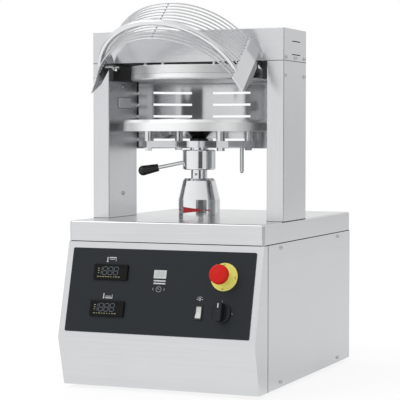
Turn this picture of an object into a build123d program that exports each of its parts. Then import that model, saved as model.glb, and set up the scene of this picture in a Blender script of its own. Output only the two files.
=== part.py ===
"""Pizza dough press: a base with a ram, two columns with a bridge, two heated plates and a wire guard.

Frame: +Z up, the front faces -Y, X = 0 is the middle plane. The origin is on the floor, under the
middle of the machine's box. All sizes are millimetres.
"""
import os
from math import atan2, cos, degrees, radians, sin, sqrt, tan

from build123d import *

# Clearances
SEAM = 0.6          # open line between neighbouring panels
SLACK = 0.3         # between pieces that move past each other
RUN = 0.05          # radial, a shaft that turns or slides in its bore
HOLE = 0.2          # radial, a screw or stud in its hole

# Sheet metal
SHEET = 1.5
FRAME_BAR = 30.0

# Base casing
LID_W = 440.0
LID_D = 587.0
LID_H = 43.0
LID_TOP = 352.0
LID_FRONT = -261.8
LID_EDGE_R = 4.0
LID_CORNER_R = 6.0
FOOT_H = 8.0
FOOT_D = 40.0
FOOT_TAPER = 20.0   # degrees
FOOT_INSET = 50.0
KNEE_OUT = 54.0     # how far the front panel's knee stands out before the lid
KNEE_Z = 110.0
TOE_OUT = 27.0      # the same at the bottom edge
CORNER_RETURN = 22.0
PAN_T = 2.0
PAN_FLANGE = 26.0
LOUVRE_L = 110.0
LOUVRE_H = 5.0
LOUVRE_PITCH = 14.0
LOUVRE_ROWS = 8
LOUVRE_APART = 150.0
LOUVRE_DROP = 90.0

LID_BACK = LID_FRONT + LID_D
LID_MID = LID_FRONT + LID_D / 2
LID_BOTTOM = LID_TOP - LID_H
HALF_W = LID_W / 2
INNER_W = LID_W - 2 * SHEET
PANEL_TOP = LID_BOTTOM - SEAM
PAN_FRONT = LID_FRONT + CORNER_RETURN
PAN_BACK = LID_BACK - SHEET
PAN_TOP = FOOT_H + PAN_T

# Columns, head and ram axis
COLUMN_W = 38.0
COLUMN_D = 145.0
COLUMN_SETBACK = 116.0
COLUMN_TOP = 688.0
COLUMN_WALL = 2.0
COLUMN_PLATE = 8.0
COLUMN_EDGE_R = 2.0
WIRING_D = 20.0
HEAD_H = 68.0
HEAD_EDGE_R = 1.4
HEAD_SLOT_L = 53.0
HEAD_SLOT_H = 2.0
HEAD_SLOT_PITCH = 28.0
HEAD_SLOT_UP = 28.0
HEAD_SLOT_BACK = 5.0
BEAM_PLATE = 8.0
BEAM_RIB = 8.0
BEAM_RIB_H = 46.0
BEAM_RIB_PITCH = 76.0
BEAM_INSET = 1.0

COLUMN_FRONT = LID_FRONT + COLUMN_SETBACK
COLUMN_BACK = COLUMN_FRONT + COLUMN_D
RAM_Y = (COLUMN_FRONT + COLUMN_BACK) / 2
COLUMN_X = HALF_W - COLUMN_W / 2
COLUMN_IN = HALF_W - COLUMN_W
COLUMN_H = COLUMN_TOP - LID_TOP

# Upper plate
UPPER_R = 147.5
UPPER_T = 12.0
UPPER_BEVEL = 3.0
UPPER_COVER_H = 18.0
UPPER_COVER_INSET = 1.0
UPPER_GAP = 8.0     # open line under the head
UPPER_STUD_R = 84.0
COVER_SCREW_X = 88.0
HEATER_R = 105.0
HEATER_D = 9.0

UPPER_COVER_TOP = COLUMN_TOP - UPPER_GAP
UPPER_TOP = UPPER_COVER_TOP - UPPER_COVER_H
UPPER_BOTTOM = UPPER_TOP - UPPER_T

# Lower plate and what carries it
LOWER_RISE = 213.0  # the plate's top over the lid, with the ram down
LOWER_R = 165.0
LOWER_T = 24.0
LOWER_BEVEL = 6.0
LOWER_BEVEL_IN = 3.0
STUD_GAP = 21.0     # between the spider and the lower plate
SPIDER_T = 14.0
HUB_R = 37.0
ARM_W = 27.0
ARM_R = 127.0
ARM_TURN = 45.0
STUD_R = 118.0
STUD_D = 10.0
STUD_SLEEVE_D = 18.0
NUT_D = 17.0
NUT_T = 7.0
BOSS_TOP_R = 30.0
BOSS_LOW_R = 15.0
BOSS_RING_R = 20.0
BOSS_RING_T = 5.0
STOP_ROD_D = 9.0
STOP_ROD_R = 102.0
STOP_ROD_L = 71.0
STOP_ROD_END_R = 4.0

LOWER_TOP = LID_TOP + LOWER_RISE
LOWER_BOTTOM = LOWER_TOP - LOWER_T
SPIDER_TOP = LOWER_BOTTOM - STUD_GAP
SPIDER_BOTTOM = SPIDER_TOP - SPIDER_T

# Thickness collar, lever and ram
COLLAR_R = 36.0
COLLAR_H = 43.5
COLLAR_GAP = 5.0    # height of the neck under the spider
COLLAR_NECK_R = 20.0
COLLAR_EDGE = 3.0
COLLAR_SEAT = 3.0   # room for the setting travel over each shoulder
COLLAR_SOCKET = 12.0
THREAD_D = 30.0
SPIGOT_D = 24.0
SPIGOT_SHORT = 1.0
RAM_D = 36.0
RAM_BORE = 27.0
RAM_BORE_L = 175.0
RAM_BOTTOM = 170.0
LEVER_D = 8.0
LEVER_TURN = 200.0
LEVER_DROP = 11.4
LEVER_ROOT = 24.0
LEVER_REACH = 135.0
LEVER_UP = 22.5     # over the collar's bottom edge
KNOB_L = 45.0
KNOB_ROOT_R = 8.0
KNOB_R = 11.0
KNOB_GRIP = 14.0    # length of rod inside the knob

COLLAR_TOP = SPIDER_BOTTOM - COLLAR_GAP
COLLAR_BOTTOM = COLLAR_TOP - COLLAR_H
LEVER_Z = COLLAR_BOTTOM + LEVER_UP
RAM_SHOULDER = COLLAR_BOTTOM + COLLAR_SOCKET
THREAD_TOP = COLLAR_TOP - COLLAR_SEAT
SPIGOT_TOP = SPIDER_TOP - SPIGOT_SHORT

# Cone cover and guide bush
CONE_R = 45.5
CONE_STRAIGHT = 41.5
CONE_H = 87.0
CONE_TOP_R = 36.0
CONE_SHOULDER = 5.0
CONE_RIM_R = 32.0
CONE_WALL = 4.0
BUSH_OD = 46.0
BUSH_FLANGE_D = 64.0
BUSH_FLANGE_T = 6.0
BUSH_L = 104.0
GUIDE_PLATE_T = 12.0
GUIDE_PLATE_W = 150.0
RAIL_PITCH = 90.0

RAIL_TOP = LID_TOP - SHEET
RAIL_BOTTOM = RAIL_TOP - FRAME_BAR
GUIDE_BOTTOM = RAIL_BOTTOM - GUIDE_PLATE_T
RAIL_SPAN = 2 * COLUMN_X - FRAME_BAR

# Drive
GEAR_MODULE = 2.0
GEAR_TEETH = 52
PINION_TEETH = 20
GEAR_W = 16.0
TOOTH_HALF = 1.2    # half a tooth's width on the pitch circle
ADDENDUM = 1.8
DEDENDUM = 2.5
PRESSURE_ANGLE = 20.0
SCREW_D = 20.0
SCREW_JOURNAL_D = 15.0
SCREW_TOP = 330.0
BEARING_D = 84.0
BEARING_H = 30.0
BEARING_EDGE = 3.0
GEAR_LIFT = 4.0     # gap between the bearing housing and the gear
SHELF_Z = 66.0
SHELF_T = 6.0
SHELF_D = 199.0
SHELF_HOLE = 2.0    # round each shaft
NUT_FLANGE_D = 52.0
NUT_FLANGE_T = 10.0
NUT_BODY_L = 34.0
MOTOR_D = 76.0
MOTOR_STEP = 4.0
MOTOR_L = 120.0
GEARBOX_L = 56.0
MOTOR_SHAFT_D = 12.0
MOTOR_SHAFT_IN = 28.0

GEAR_Z = PAN_TOP + BEARING_H + GEAR_LIFT
CENTRE_DISTANCE = GEAR_MODULE * (GEAR_TEETH + PINION_TEETH) / 2
MOTOR_Y = RAM_Y + CENTRE_DISTANCE
SHELF_TOP = SHELF_Z + SHELF_T

# Rear shield
SHIELD_HALF = 65.5   # degrees each side of the back
SHIELD_H = 185.7
SHIELD_FLANGE = 23.0
SLOT_ROWS = 5
SLOT_DROP = 59.3    # top row under the columns' top
SLOT_PITCH = 26.7
SLOT_H = 5.0
SLOT_SPAN = 26.6
SLOT_TURN = 40.35
REARWARD = 90.0     # degrees, the direction of +Y

SHIELD_R = COLUMN_IN / sin(radians(SHIELD_HALF))
SHIELD_BOTTOM = COLUMN_TOP - SHIELD_H
SLOT_TOP = COLUMN_TOP - SLOT_DROP

# Guard, drawn raised about its hinge
HINGE_SETBACK = 6.6     # behind the columns' front
HINGE_DROP = 12.0       # under the columns' top
RAISE = 49.0
WIRE_D = 3.2
WIRE_COUNT = 13
WIRE_TOP = 6.3
WIRE_BOTTOM = -111.7
WIRE_SIDE = 4.0     # the wires' widest line, inside the cheeks
WIRE_REACH = 165.3
WIRE_TUCK = 18.0    # the wires' ends, inside the cheeks
TIE_SINK = 0.7      # weld depth of the tie wire
HANDLE_D = 13.0
HANDLE_Z = -91.0
HANDLE_REACH = 190.3
HANDLE_TUCK = 18.2  # the handle's ends, inside the cheeks
CHEEK_T = 2.0
CHEEK_GAP = 1.0     # between a cheek and its hinge block
CHEEK_BEND = -35.0
CHEEK_BACK = -20.0
CHEEK_TOP = 4.5
CHEEK_TIP = -126.0
CHEEK_EDGE_TOP = 11.0
CHEEK_EDGE_BOTTOM = -116.0
CHEEK_TAPER = -76.0
CHEEK_NOTCH = -18.0
NECK_Y = -13.3       # where the cheek's neck passes under the head
NECK_Z = 1.2
LUG_R = 7.5
PIN_D = 6.0
PIN_HEAD_D = 13.0
PIN_HEAD_T = 5.0
PIN_GAP = 0.7       # each side of a cheek
BLOCK_T = 10.0
BLOCK_L = 105.0
BLOCK_H = 36.0
BLOCK_SETBACK = 1.0
BLOCK_DROP = 2.0        # under the columns' top
BLOCK_EDGE_R = 2.0

HINGE_Y = COLUMN_FRONT + HINGE_SETBACK
HINGE_Z = COLUMN_TOP - HINGE_DROP
CHEEK_X = COLUMN_IN - BLOCK_T - CHEEK_GAP - CHEEK_T / 2
WIRE_END_X = CHEEK_X - WIRE_TUCK
WIRE_R = CHEEK_X - WIRE_SIDE
HANDLE_R = CHEEK_X - HANDLE_TUCK

# Control panel: X and distance down the slope from the lid's bottom edge
OVERLAY_W = 412.0
OVERLAY_TOP = 14.5
OVERLAY_H = 178.0
OVERLAY_T = 2.0
OVERLAY_CORNER_R = 3.0
CONTROLLER_W = 78.0
CONTROLLER_H = 34.0
CONTROLLER_X = -113.0
CONTROLLER_DOWN_UPPER = 65.0
CONTROLLER_DOWN_LOWER = 142.0
CONTROLLER_BEZEL = 5.0
CONTROLLER_EDGE_R = 1.5
CONTROLLER_LIP = 3.5
CONTROLLER_DEEP = 58.0
WINDOW_W = 66.0
WINDOW_H = 23.0
WINDOW_SINK = 0.6
TIMER_X = -1.3
DISPLAY_DOWN = 65.7
DISPLAY_W = 28.0
DISPLAY_H = 17.5
DISPLAY_SINK = 0.3
KEY_DOWN = 97.0
KEY_PITCH = 12.6
KEY_D = 8.0
KEY_PROUD = 0.4
KEY_FLANGE_D = 10.4
KEY_FLANGE_T = 1.0
KEY_FLANGE_GAP = 0.4
BOARD_W = 56.0
BOARD_H = 62.0
BOARD_T = 4.0
BOARD_DOWN = 80.0
BOARD_GAP = 2.7     # between the board and the panel
BOARD_PEG_D = 4.0
BOARD_PEG_INSET = 4.0
ESTOP_X = 140.8
ESTOP_DOWN = 66.5
ESTOP_DISC_D = 58.0
ESTOP_DISC_T = 1.2
ESTOP_COLLAR_D = 30.0
ESTOP_COLLAR_TOP = 20.0
ESTOP_COLLAR_EDGE = 2.0
ESTOP_SHANK_D = 22.0
ESTOP_STEM_D = 12.0
ESTOP_STEM_LOW = -5.0
ESTOP_STEM_TOP = 26.0
ESTOP_BORE_LOW = -30.0
ESTOP_SPIGOT_D = 8.0
ESTOP_SPIGOT_L = 9.0
ESTOP_HEAD_D = 40.5
ESTOP_HEAD_LOW = 27.0
ESTOP_HEAD_TOP = 42.0
ESTOP_RIM_TOP = 35.0
ESTOP_HEAD_EDGE = 2.0
ESTOP_CROWN = 2.0   # rise of the slightly domed top
ESTOP_BLOCK = 34.0
ESTOP_BLOCK_TOP = -18.0
ESTOP_BLOCK_DEEP = 40.0
SWITCH_X = 142.5
SWITCH_DOWN = 140.5
SWITCH_KNOB_D = 40.0
SWITCH_SKIRT_TOP = 8.3
SWITCH_GRIP_W = 15.0
SWITCH_GRIP_L = 38.0
SWITCH_GRIP_TOP = 26.0
SWITCH_GRIP_EDGE = 1.5
SWITCH_SKIRT_EDGE = 2.0
SWITCH_NECK_D = 18.0
SWITCH_STEM_D = 8.0
SWITCH_STEM_LOW = -18.0
SWITCH_BORE_LOW = -20.0
SWITCH_BLOCK = 46.0
SWITCH_BLOCK_DEEP = 44.0
ROCKER_X = 92.4
ROCKER_DOWN = 141.7
ROCKER_W = 11.4
ROCKER_L = 25.8
ROCKER_TILT = 8.0
ROCKER_PIVOT = -1.0
ROCKER_TOP = 5.0
ROCKER_DIP = 1.6
ROCKER_LOW = -5.0
ROCKER_PIN_D = 2.4
ROCKER_RIM = 1.0
ROCKER_RIM_T = 2.0
ROCKER_WALL = 1.2
ROCKER_DEEP = 18.0

# Fasteners and small fittings
SCREW_HEAD_D = 9.0
SCREW_HEAD_T = 2.4
SCREW_HEAD_EDGE = 1.0
SCREW_SHANK_D = 4.8
SCREW_GRIP = 3.2
BOLT_D = 10.0
BOLT_HEAD_D = 18.0
BOLT_HEAD_T = 7.0
BOLT_PITCH = 47.0
SIDE_SCREW_FRONT = 100.4
SIDE_SCREW_BACK = 94.0
SIDE_SCREW_LOW = 11.0
SIDE_SCREW_HIGH = 9.4
REAR_SCREW_INSET = 20.0
HEAD_SCREW_PITCH = 59.0
HEAD_SCREW_UP = 7.0
COLUMN_SCREW_FRONT = 8.0
COLUMN_SCREW_BACK = 14.0
COLUMN_SCREW_DROP = 31.0
INNER_SCREW_LOW = 52.0
INNER_SCREW_HIGH = 47.0
SHIELD_SCREW_END = 16.0
LIGHT_L = 63.0
LIGHT_H = 22.0
LIGHT_PROUD = 3.0
LIGHT_RIM = 3.5
LIGHT_DEEP = 12.0
LIGHT_BACK = 4.9    # behind the ram's axis
LIGHT_DROP = 84.2   # under the columns' top
LIGHT_EDGE = 1.0
GLAND_X = -150.0
GLAND_Z = 60.0
GLAND_THREAD_D = 20.0
GLAND_HEX = 26.0
GLAND_BORE = 10.0
GLAND_OUT = 14.0
GLAND_IN = 12.0
GLAND_NUT_T = 5.0

LIGHT_Z = COLUMN_TOP - LIGHT_DROP
BOX_W = 170.0
BOX_D = 70.0
BOX_H = 130.0
BOX_FROM_BACK = 92.0
BOX_EDGE_R = 4.0

os.makedirs("parts", exist_ok=True)


def save(builder, name):
    """Label a finished piece and write it to its own file."""
    builder.part.label = name
    export_step(builder.part, f"parts/{name}.step")


# Working planes
lean = atan2(KNEE_OUT, LID_BOTTOM - KNEE_Z)
raised = radians(RAISE)
ram_axis = Axis((0, RAM_Y, 0), (0, 0, 1))
hinge_point = (0, HINGE_Y, HINGE_Z)
PANEL = Plane(origin=(0, LID_FRONT, LID_BOTTOM), x_dir=(1, 0, 0), z_dir=(0, -cos(lean), sin(lean)))
GUARD = Plane(origin=hinge_point, x_dir=(1, 0, 0), z_dir=(0, sin(raised), cos(raised)))
GUARD_SIDE = Plane(origin=hinge_point, x_dir=(0, cos(raised), -sin(raised)), z_dir=(1, 0, 0))
RAM_SECTION = Plane(origin=(0, RAM_Y, 0), x_dir=(1, 0, 0), z_dir=(0, -1, 0))
REAR = Plane(origin=(0, LID_BACK, 0), x_dir=(1, 0, 0), z_dir=(0, -1, 0))


def on_panel(x, down, lift=0.0):
    """A plane on the sloped front, at X and a distance down the slope, lifted off its surface."""
    place = PANEL.from_local_coords((x, -down, lift))
    return Plane(origin=place, x_dir=PANEL.x_dir, z_dir=PANEL.z_dir)


def at_height(z, x=0.0, y=RAM_Y):
    """A level plane at height z, by default centred on the ram's axis."""
    return Plane(origin=(x, y, z), x_dir=(1, 0, 0), z_dir=(0, 0, 1))


# Places on the control panel that several pieces share
estop_plane = on_panel(ESTOP_X, ESTOP_DOWN)
switch_plane = on_panel(SWITCH_X, SWITCH_DOWN)
rocker_plane = on_panel(ROCKER_X, ROCKER_DOWN)
display_plane = on_panel(TIMER_X, DISPLAY_DOWN)
upper_controller_plane = on_panel(CONTROLLER_X, CONTROLLER_DOWN_UPPER)
lower_controller_plane = on_panel(CONTROLLER_X, CONTROLLER_DOWN_LOWER)
left_key_plane = on_panel(TIMER_X - KEY_PITCH, KEY_DOWN)
set_key_plane = on_panel(TIMER_X, KEY_DOWN)
right_key_plane = on_panel(TIMER_X + KEY_PITCH, KEY_DOWN)
controller_body = (CONTROLLER_W - 2 * CONTROLLER_LIP, CONTROLLER_H - 2 * CONTROLLER_LIP)
rocker_window = (ROCKER_W + 2 * SLACK, ROCKER_L + 2 * SLACK)
rocker_housing = (rocker_window[0] + 2 * ROCKER_WALL, rocker_window[1] + 2 * ROCKER_WALL)


def cut_controls(depth):
    """Cut the openings of all the controls through the sheet that is being built."""
    openings = []
    for plane in (upper_controller_plane, lower_controller_plane):
        with BuildSketch(plane) as opening:
            Rectangle(controller_body[0] + 2 * HOLE, controller_body[1] + 2 * HOLE)
        openings.append(opening)
    with BuildSketch(display_plane) as opening:
        Rectangle(DISPLAY_W + 2 * HOLE, DISPLAY_H + 2 * HOLE)
    openings.append(opening)
    for plane in (left_key_plane, set_key_plane, right_key_plane):
        with BuildSketch(plane) as opening:
            Circle(KEY_D / 2 + SLACK)
        openings.append(opening)
    with BuildSketch(estop_plane) as opening:
        Circle(ESTOP_SHANK_D / 2 + HOLE)
    openings.append(opening)
    with BuildSketch(switch_plane) as opening:
        Circle(SWITCH_NECK_D / 2 + HOLE)
    openings.append(opening)
    with BuildSketch(rocker_plane) as opening:
        Rectangle(rocker_housing[0] + 2 * HOLE, rocker_housing[1] + 2 * HOLE)
    openings.append(opening)
    for opening in openings:
        extrude(opening.sketch, amount=depth, both=True, mode=Mode.SUBTRACT)


# Screw places: a point on the outer surface and the way the head faces
side_screws = []
rear_screws = []
head_screws = []
column_screws = []
shield_screws = []
for side in (-1, 1):
    for z in (FOOT_H + SIDE_SCREW_LOW, LID_BOTTOM - SIDE_SCREW_HIGH):
        for y in (LID_FRONT + SIDE_SCREW_FRONT, LID_BACK - SIDE_SCREW_BACK):
            side_screws.append((side * HALF_W, y, z, (side, 0, 0)))
        rear_screws.append((side * (HALF_W - REAR_SCREW_INSET), LID_BACK, z, (0, 1, 0)))
    for y in (RAM_Y - HEAD_SCREW_PITCH, RAM_Y, RAM_Y + HEAD_SCREW_PITCH):
        head_screws.append((side * HALF_W, y, COLUMN_TOP + HEAD_SCREW_UP, (side, 0, 0)))
    for y in (COLUMN_FRONT + COLUMN_SCREW_FRONT, COLUMN_BACK - COLUMN_SCREW_BACK):
        column_screws.append((side * HALF_W, y, COLUMN_TOP - COLUMN_SCREW_DROP, (side, 0, 0)))
    for z in (LID_TOP + INNER_SCREW_LOW, COLUMN_TOP - INNER_SCREW_HIGH):
        column_screws.append((side * COLUMN_IN, RAM_Y, z, (-side, 0, 0)))
    shield_middle = (SHIELD_BOTTOM + COLUMN_TOP) / 2
    for z in (SHIELD_BOTTOM + SHIELD_SCREW_END, shield_middle, COLUMN_TOP - SHIELD_SCREW_END):
        shield_screws.append((side * (COLUMN_IN + SHIELD_FLANGE / 2), COLUMN_BACK + SHEET, z, (0, 1, 0)))
cover_screws_top = []
for x in (-COVER_SCREW_X, COVER_SCREW_X):
    for y in (RAM_Y - COVER_SCREW_X, RAM_Y + COVER_SCREW_X):
        cover_screws_top.append((x, y, UPPER_COVER_TOP, (0, 0, 1)))


def drill(places, depth):
    """Cut the shank holes of screws in the part that is being built."""
    for x, y, z, direction in places:
        with BuildSketch(Plane(origin=(x, y, z), z_dir=direction)) as hole:
            Circle(SCREW_SHANK_D / 2 + HOLE)
        extrude(hole.sketch, amount=-depth, mode=Mode.SUBTRACT)


# Base casing

with BuildPart() as floor_pan:
    with BuildSketch(at_height(FOOT_H, y=(PAN_FRONT + PAN_BACK) / 2)):
        Rectangle(INNER_W, PAN_BACK - PAN_FRONT)
    extrude(amount=PAN_FLANGE)
    with BuildSketch(at_height(PAN_TOP, y=(PAN_FRONT + PAN_BACK - PAN_T) / 2)):
        Rectangle(INNER_W - 2 * PAN_T, PAN_BACK - PAN_FRONT - PAN_T)
    extrude(amount=PAN_FLANGE, mode=Mode.SUBTRACT)
    drill(side_screws + rear_screws, SHEET + 2 * PAN_T)
save(floor_pan, "floor_pan")

with BuildPart() as rubber_feet:
    with BuildSketch(at_height(FOOT_H, y=LID_MID)):
        with GridLocations(LID_W - 2 * FOOT_INSET, LID_D - 2 * FOOT_INSET, 2, 2):
            Circle(FOOT_D / 2)
    extrude(amount=-FOOT_H, taper=FOOT_TAPER)
save(rubber_feet, "rubber_feet")

with BuildPart() as front_panel:
    with BuildSketch(Plane.YZ) as front_outline:
        with BuildLine():
            Polyline(
                (PAN_FRONT, PANEL_TOP),
                (LID_FRONT - SEAM * tan(lean), PANEL_TOP),
                (LID_FRONT - KNEE_OUT, KNEE_Z),
                (LID_FRONT - TOE_OUT, FOOT_H),
                (PAN_FRONT, FOOT_H),
                close=True,
            )
        make_face()
    extrude(amount=HALF_W, both=True)
    with BuildSketch(Plane.YZ):
        add(front_outline.sketch_local)
        offset(amount=-SHEET, kind=Kind.INTERSECTION)
        with Locations((PAN_FRONT, (FOOT_H + PANEL_TOP) / 2)):
            Rectangle(4 * SHEET, PANEL_TOP - FOOT_H - 2 * SHEET)
    extrude(amount=HALF_W - SHEET, both=True, mode=Mode.SUBTRACT)
    cut_controls(3 * SHEET)
save(front_panel, "front_panel")

for side, name in ((-1, "left_side_panel"), (1, "right_side_panel")):
    with BuildPart() as side_panel:
        with BuildSketch(Plane.YZ.offset(side * HALF_W)):
            with Locations(((PAN_FRONT + SEAM + LID_BACK) / 2, (FOOT_H + PANEL_TOP) / 2)):
                Rectangle(LID_BACK - PAN_FRONT - SEAM, PANEL_TOP - FOOT_H)
        extrude(amount=-side * SHEET)
        drill(side_screws, 2 * SHEET)
    save(side_panel, name)

with BuildPart() as rear_panel:
    with BuildSketch(REAR):
        with Locations((0, (FOOT_H + PANEL_TOP) / 2)):
            Rectangle(INNER_W, PANEL_TOP - FOOT_H)
        with Locations((0, LID_BOTTOM - LOUVRE_DROP)):
            with GridLocations(LOUVRE_APART, LOUVRE_PITCH, 2, LOUVRE_ROWS):
                SlotOverall(LOUVRE_L, LOUVRE_H, mode=Mode.SUBTRACT)
        with Locations((GLAND_X, GLAND_Z)):
            Circle(GLAND_THREAD_D / 2 + HOLE, mode=Mode.SUBTRACT)
    extrude(amount=SHEET)
    drill(rear_screws, 2 * SHEET)
save(rear_panel, "rear_panel")

with BuildPart() as top_lid:
    with BuildSketch(at_height(LID_BOTTOM, y=LID_MID)):
        RectangleRounded(LID_W, LID_D, LID_CORNER_R)
    extrude(amount=LID_H)
    fillet(top_lid.faces().sort_by(Axis.Z)[-1].edges(), LID_EDGE_R)
    with BuildSketch(at_height(LID_BOTTOM, y=LID_MID)):
        RectangleRounded(LID_W - 2 * SHEET, LID_D - 2 * SHEET, LID_CORNER_R - SHEET)
    extrude(amount=LID_H - SHEET, mode=Mode.SUBTRACT)
    with BuildSketch(at_height(LID_TOP)):
        Circle(BUSH_OD / 2 + SHEET)
        with GridLocations(2 * COLUMN_X, BOLT_PITCH, 2, 2):
            Circle(BOLT_D / 2 + HOLE)
        with GridLocations(2 * COLUMN_X, 0, 2, 1):
            Circle(WIRING_D / 2)
    extrude(amount=-2 * SHEET, mode=Mode.SUBTRACT)
save(top_lid, "top_lid")

with BuildPart() as main_frame:
    with BuildSketch(at_height(PAN_TOP)):
        with GridLocations(2 * COLUMN_X, COLUMN_D - FRAME_BAR, 2, 2):
            Rectangle(FRAME_BAR, FRAME_BAR)
    extrude(amount=RAIL_BOTTOM - PAN_TOP)
    with BuildSketch(at_height(RAIL_BOTTOM)):
        with GridLocations(2 * COLUMN_X, 0, 2, 1):
            Rectangle(FRAME_BAR, COLUMN_D)
        with GridLocations(0, RAIL_PITCH, 1, 2):
            Rectangle(RAIL_SPAN, FRAME_BAR)
    extrude(amount=FRAME_BAR)
    with BuildSketch(at_height(GUIDE_BOTTOM)):
        Rectangle(GUIDE_PLATE_W, RAIL_PITCH + FRAME_BAR)
    extrude(amount=GUIDE_PLATE_T)
    with BuildSketch(at_height(SHELF_Z, y=COLUMN_FRONT + SHELF_D / 2)):
        Rectangle(RAIL_SPAN, SHELF_D)
    extrude(amount=SHELF_T)
    with BuildSketch(at_height(RAIL_TOP)):
        Circle(BUSH_OD / 2)
        with GridLocations(2 * COLUMN_X, BOLT_PITCH, 2, 2):
            Circle(BOLT_D / 2 + HOLE)
    extrude(amount=GUIDE_BOTTOM - RAIL_TOP, mode=Mode.SUBTRACT)
    with BuildSketch(at_height(SHELF_Z)):
        Circle(SCREW_D / 2 + SHELF_HOLE)
        with Locations((0, CENTRE_DISTANCE)):
            Circle(MOTOR_SHAFT_D / 2 + SHELF_HOLE)
    extrude(amount=SHELF_T, mode=Mode.SUBTRACT)
save(main_frame, "main_frame")

with BuildPart() as cable_gland:
    with BuildSketch(REAR):
        with Locations((GLAND_X, GLAND_Z)):
            RegularPolygon(GLAND_HEX / 2, 6)
    extrude(amount=-GLAND_OUT)
    with BuildSketch(REAR):
        with Locations((GLAND_X, GLAND_Z)):
            Circle(GLAND_THREAD_D / 2)
    extrude(amount=GLAND_IN)
    with BuildSketch(REAR.offset(SHEET)):
        with Locations((GLAND_X, GLAND_Z)):
            RegularPolygon(GLAND_HEX / 2, 6)
    extrude(amount=GLAND_NUT_T)
    with BuildSketch(REAR.offset(-GLAND_OUT)):
        with Locations((GLAND_X, GLAND_Z)):
            Circle(GLAND_BORE / 2)
    extrude(amount=GLAND_OUT + GLAND_IN, mode=Mode.SUBTRACT)
save(cable_gland, "cable_gland")

with BuildPart() as control_box:
    with BuildSketch(at_height(PAN_TOP, y=LID_BACK - BOX_FROM_BACK)):
        RectangleRounded(BOX_W, BOX_D, BOX_EDGE_R)
    extrude(amount=BOX_H)
save(control_box, "control_box")

# Columns, head and shield

for side, name in ((-1, "left_column"), (1, "right_column")):
    with BuildPart() as column:
        with BuildSketch(at_height(LID_TOP, x=side * COLUMN_X)):
            RectangleRounded(COLUMN_W, COLUMN_D, COLUMN_EDGE_R)
        extrude(amount=COLUMN_H)
        with BuildSketch(at_height(LID_TOP + COLUMN_PLATE, x=side * COLUMN_X)):
            Rectangle(COLUMN_W - 2 * COLUMN_WALL, COLUMN_D - 2 * COLUMN_WALL)
        extrude(amount=COLUMN_H - 2 * COLUMN_PLATE, mode=Mode.SUBTRACT)
        with BuildSketch(at_height(LID_TOP, x=side * COLUMN_X)):
            Circle(WIRING_D / 2)
            with GridLocations(0, BOLT_PITCH, 1, 2):
                Circle(BOLT_D / 2 + HOLE)
        extrude(amount=COLUMN_H, mode=Mode.SUBTRACT)
        drill(column_screws, 2 * COLUMN_WALL)
        drill(shield_screws, SHEET + 2 * COLUMN_WALL)
        if side < 0:
            with BuildSketch(Plane.YZ.offset(-COLUMN_IN)):
                with Locations((RAM_Y + LIGHT_BACK, LIGHT_Z)):
                    Rectangle(LIGHT_L - 2 * LIGHT_RIM + 2 * HOLE, LIGHT_H - 2 * LIGHT_RIM + 2 * HOLE)
            extrude(amount=-2 * COLUMN_WALL, mode=Mode.SUBTRACT)
    save(column, name)

with BuildPart() as work_light:
    with BuildSketch(Plane.YZ.offset(-COLUMN_IN)):
        with Locations((RAM_Y + LIGHT_BACK, LIGHT_Z)):
            RectangleRounded(LIGHT_L, LIGHT_H, 2 * LIGHT_EDGE)
    extrude(amount=LIGHT_PROUD)
    fillet(work_light.faces().sort_by(Axis.X)[-1].edges(), LIGHT_EDGE)
    with BuildSketch(Plane.YZ.offset(-COLUMN_IN)):
        with Locations((RAM_Y + LIGHT_BACK, LIGHT_Z)):
            Rectangle(LIGHT_L - 2 * LIGHT_RIM, LIGHT_H - 2 * LIGHT_RIM)
    extrude(amount=-LIGHT_DEEP)
save(work_light, "work_light")

beam_w = LID_W - 2 * SCREW_GRIP - 2 * BEAM_INSET
beam_d = COLUMN_D - 2 * SHEET - 2 * BEAM_INSET

with BuildPart() as head_beam:
    with BuildSketch(at_height(COLUMN_TOP)):
        Rectangle(beam_w, beam_d)
    extrude(amount=BEAM_PLATE)
    with BuildSketch(at_height(COLUMN_TOP + BEAM_PLATE)):
        with GridLocations(0, BEAM_RIB_PITCH, 1, 2):
            Rectangle(beam_w, BEAM_RIB)
    extrude(amount=BEAM_RIB_H)
    with BuildSketch(at_height(COLUMN_TOP)):
        with GridLocations(2 * COLUMN_X, BOLT_PITCH, 2, 2):
            Circle(BOLT_D / 2 + HOLE)
        with GridLocations(2 * COLUMN_X, 0, 2, 1):
            Circle(WIRING_D / 2)
        with PolarLocations(UPPER_STUD_R, 4, start_angle=ARM_TURN):
            Circle(BOLT_D / 2 + HOLE)
    extrude(amount=BEAM_PLATE, mode=Mode.SUBTRACT)
save(head_beam, "head_beam")

with BuildPart() as head_cover:
    with BuildSketch(at_height(COLUMN_TOP)):
        RectangleRounded(LID_W, COLUMN_D, COLUMN_EDGE_R)
    extrude(amount=HEAD_H)
    fillet(head_cover.faces().sort_by(Axis.Z)[-1].edges(), HEAD_EDGE_R)
    with BuildSketch(at_height(COLUMN_TOP)):
        Rectangle(LID_W - 2 * SHEET, COLUMN_D - 2 * SHEET)
    extrude(amount=HEAD_H - SHEET, mode=Mode.SUBTRACT)
    with BuildSketch(Plane.YZ):
        with Locations((RAM_Y + HEAD_SLOT_BACK, COLUMN_TOP + HEAD_SLOT_UP)):
            with GridLocations(0, HEAD_SLOT_PITCH, 1, 2):
                SlotOverall(HEAD_SLOT_L, HEAD_SLOT_H)
    extrude(amount=LID_W, both=True, mode=Mode.SUBTRACT)
    drill(head_screws, 2 * SHEET)
save(head_cover, "head_cover")

shield_end_x = SHIELD_R * sin(radians(SHIELD_HALF))
shield_end_y = SHIELD_R * cos(radians(SHIELD_HALF))
column_back_y = COLUMN_BACK - RAM_Y

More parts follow.
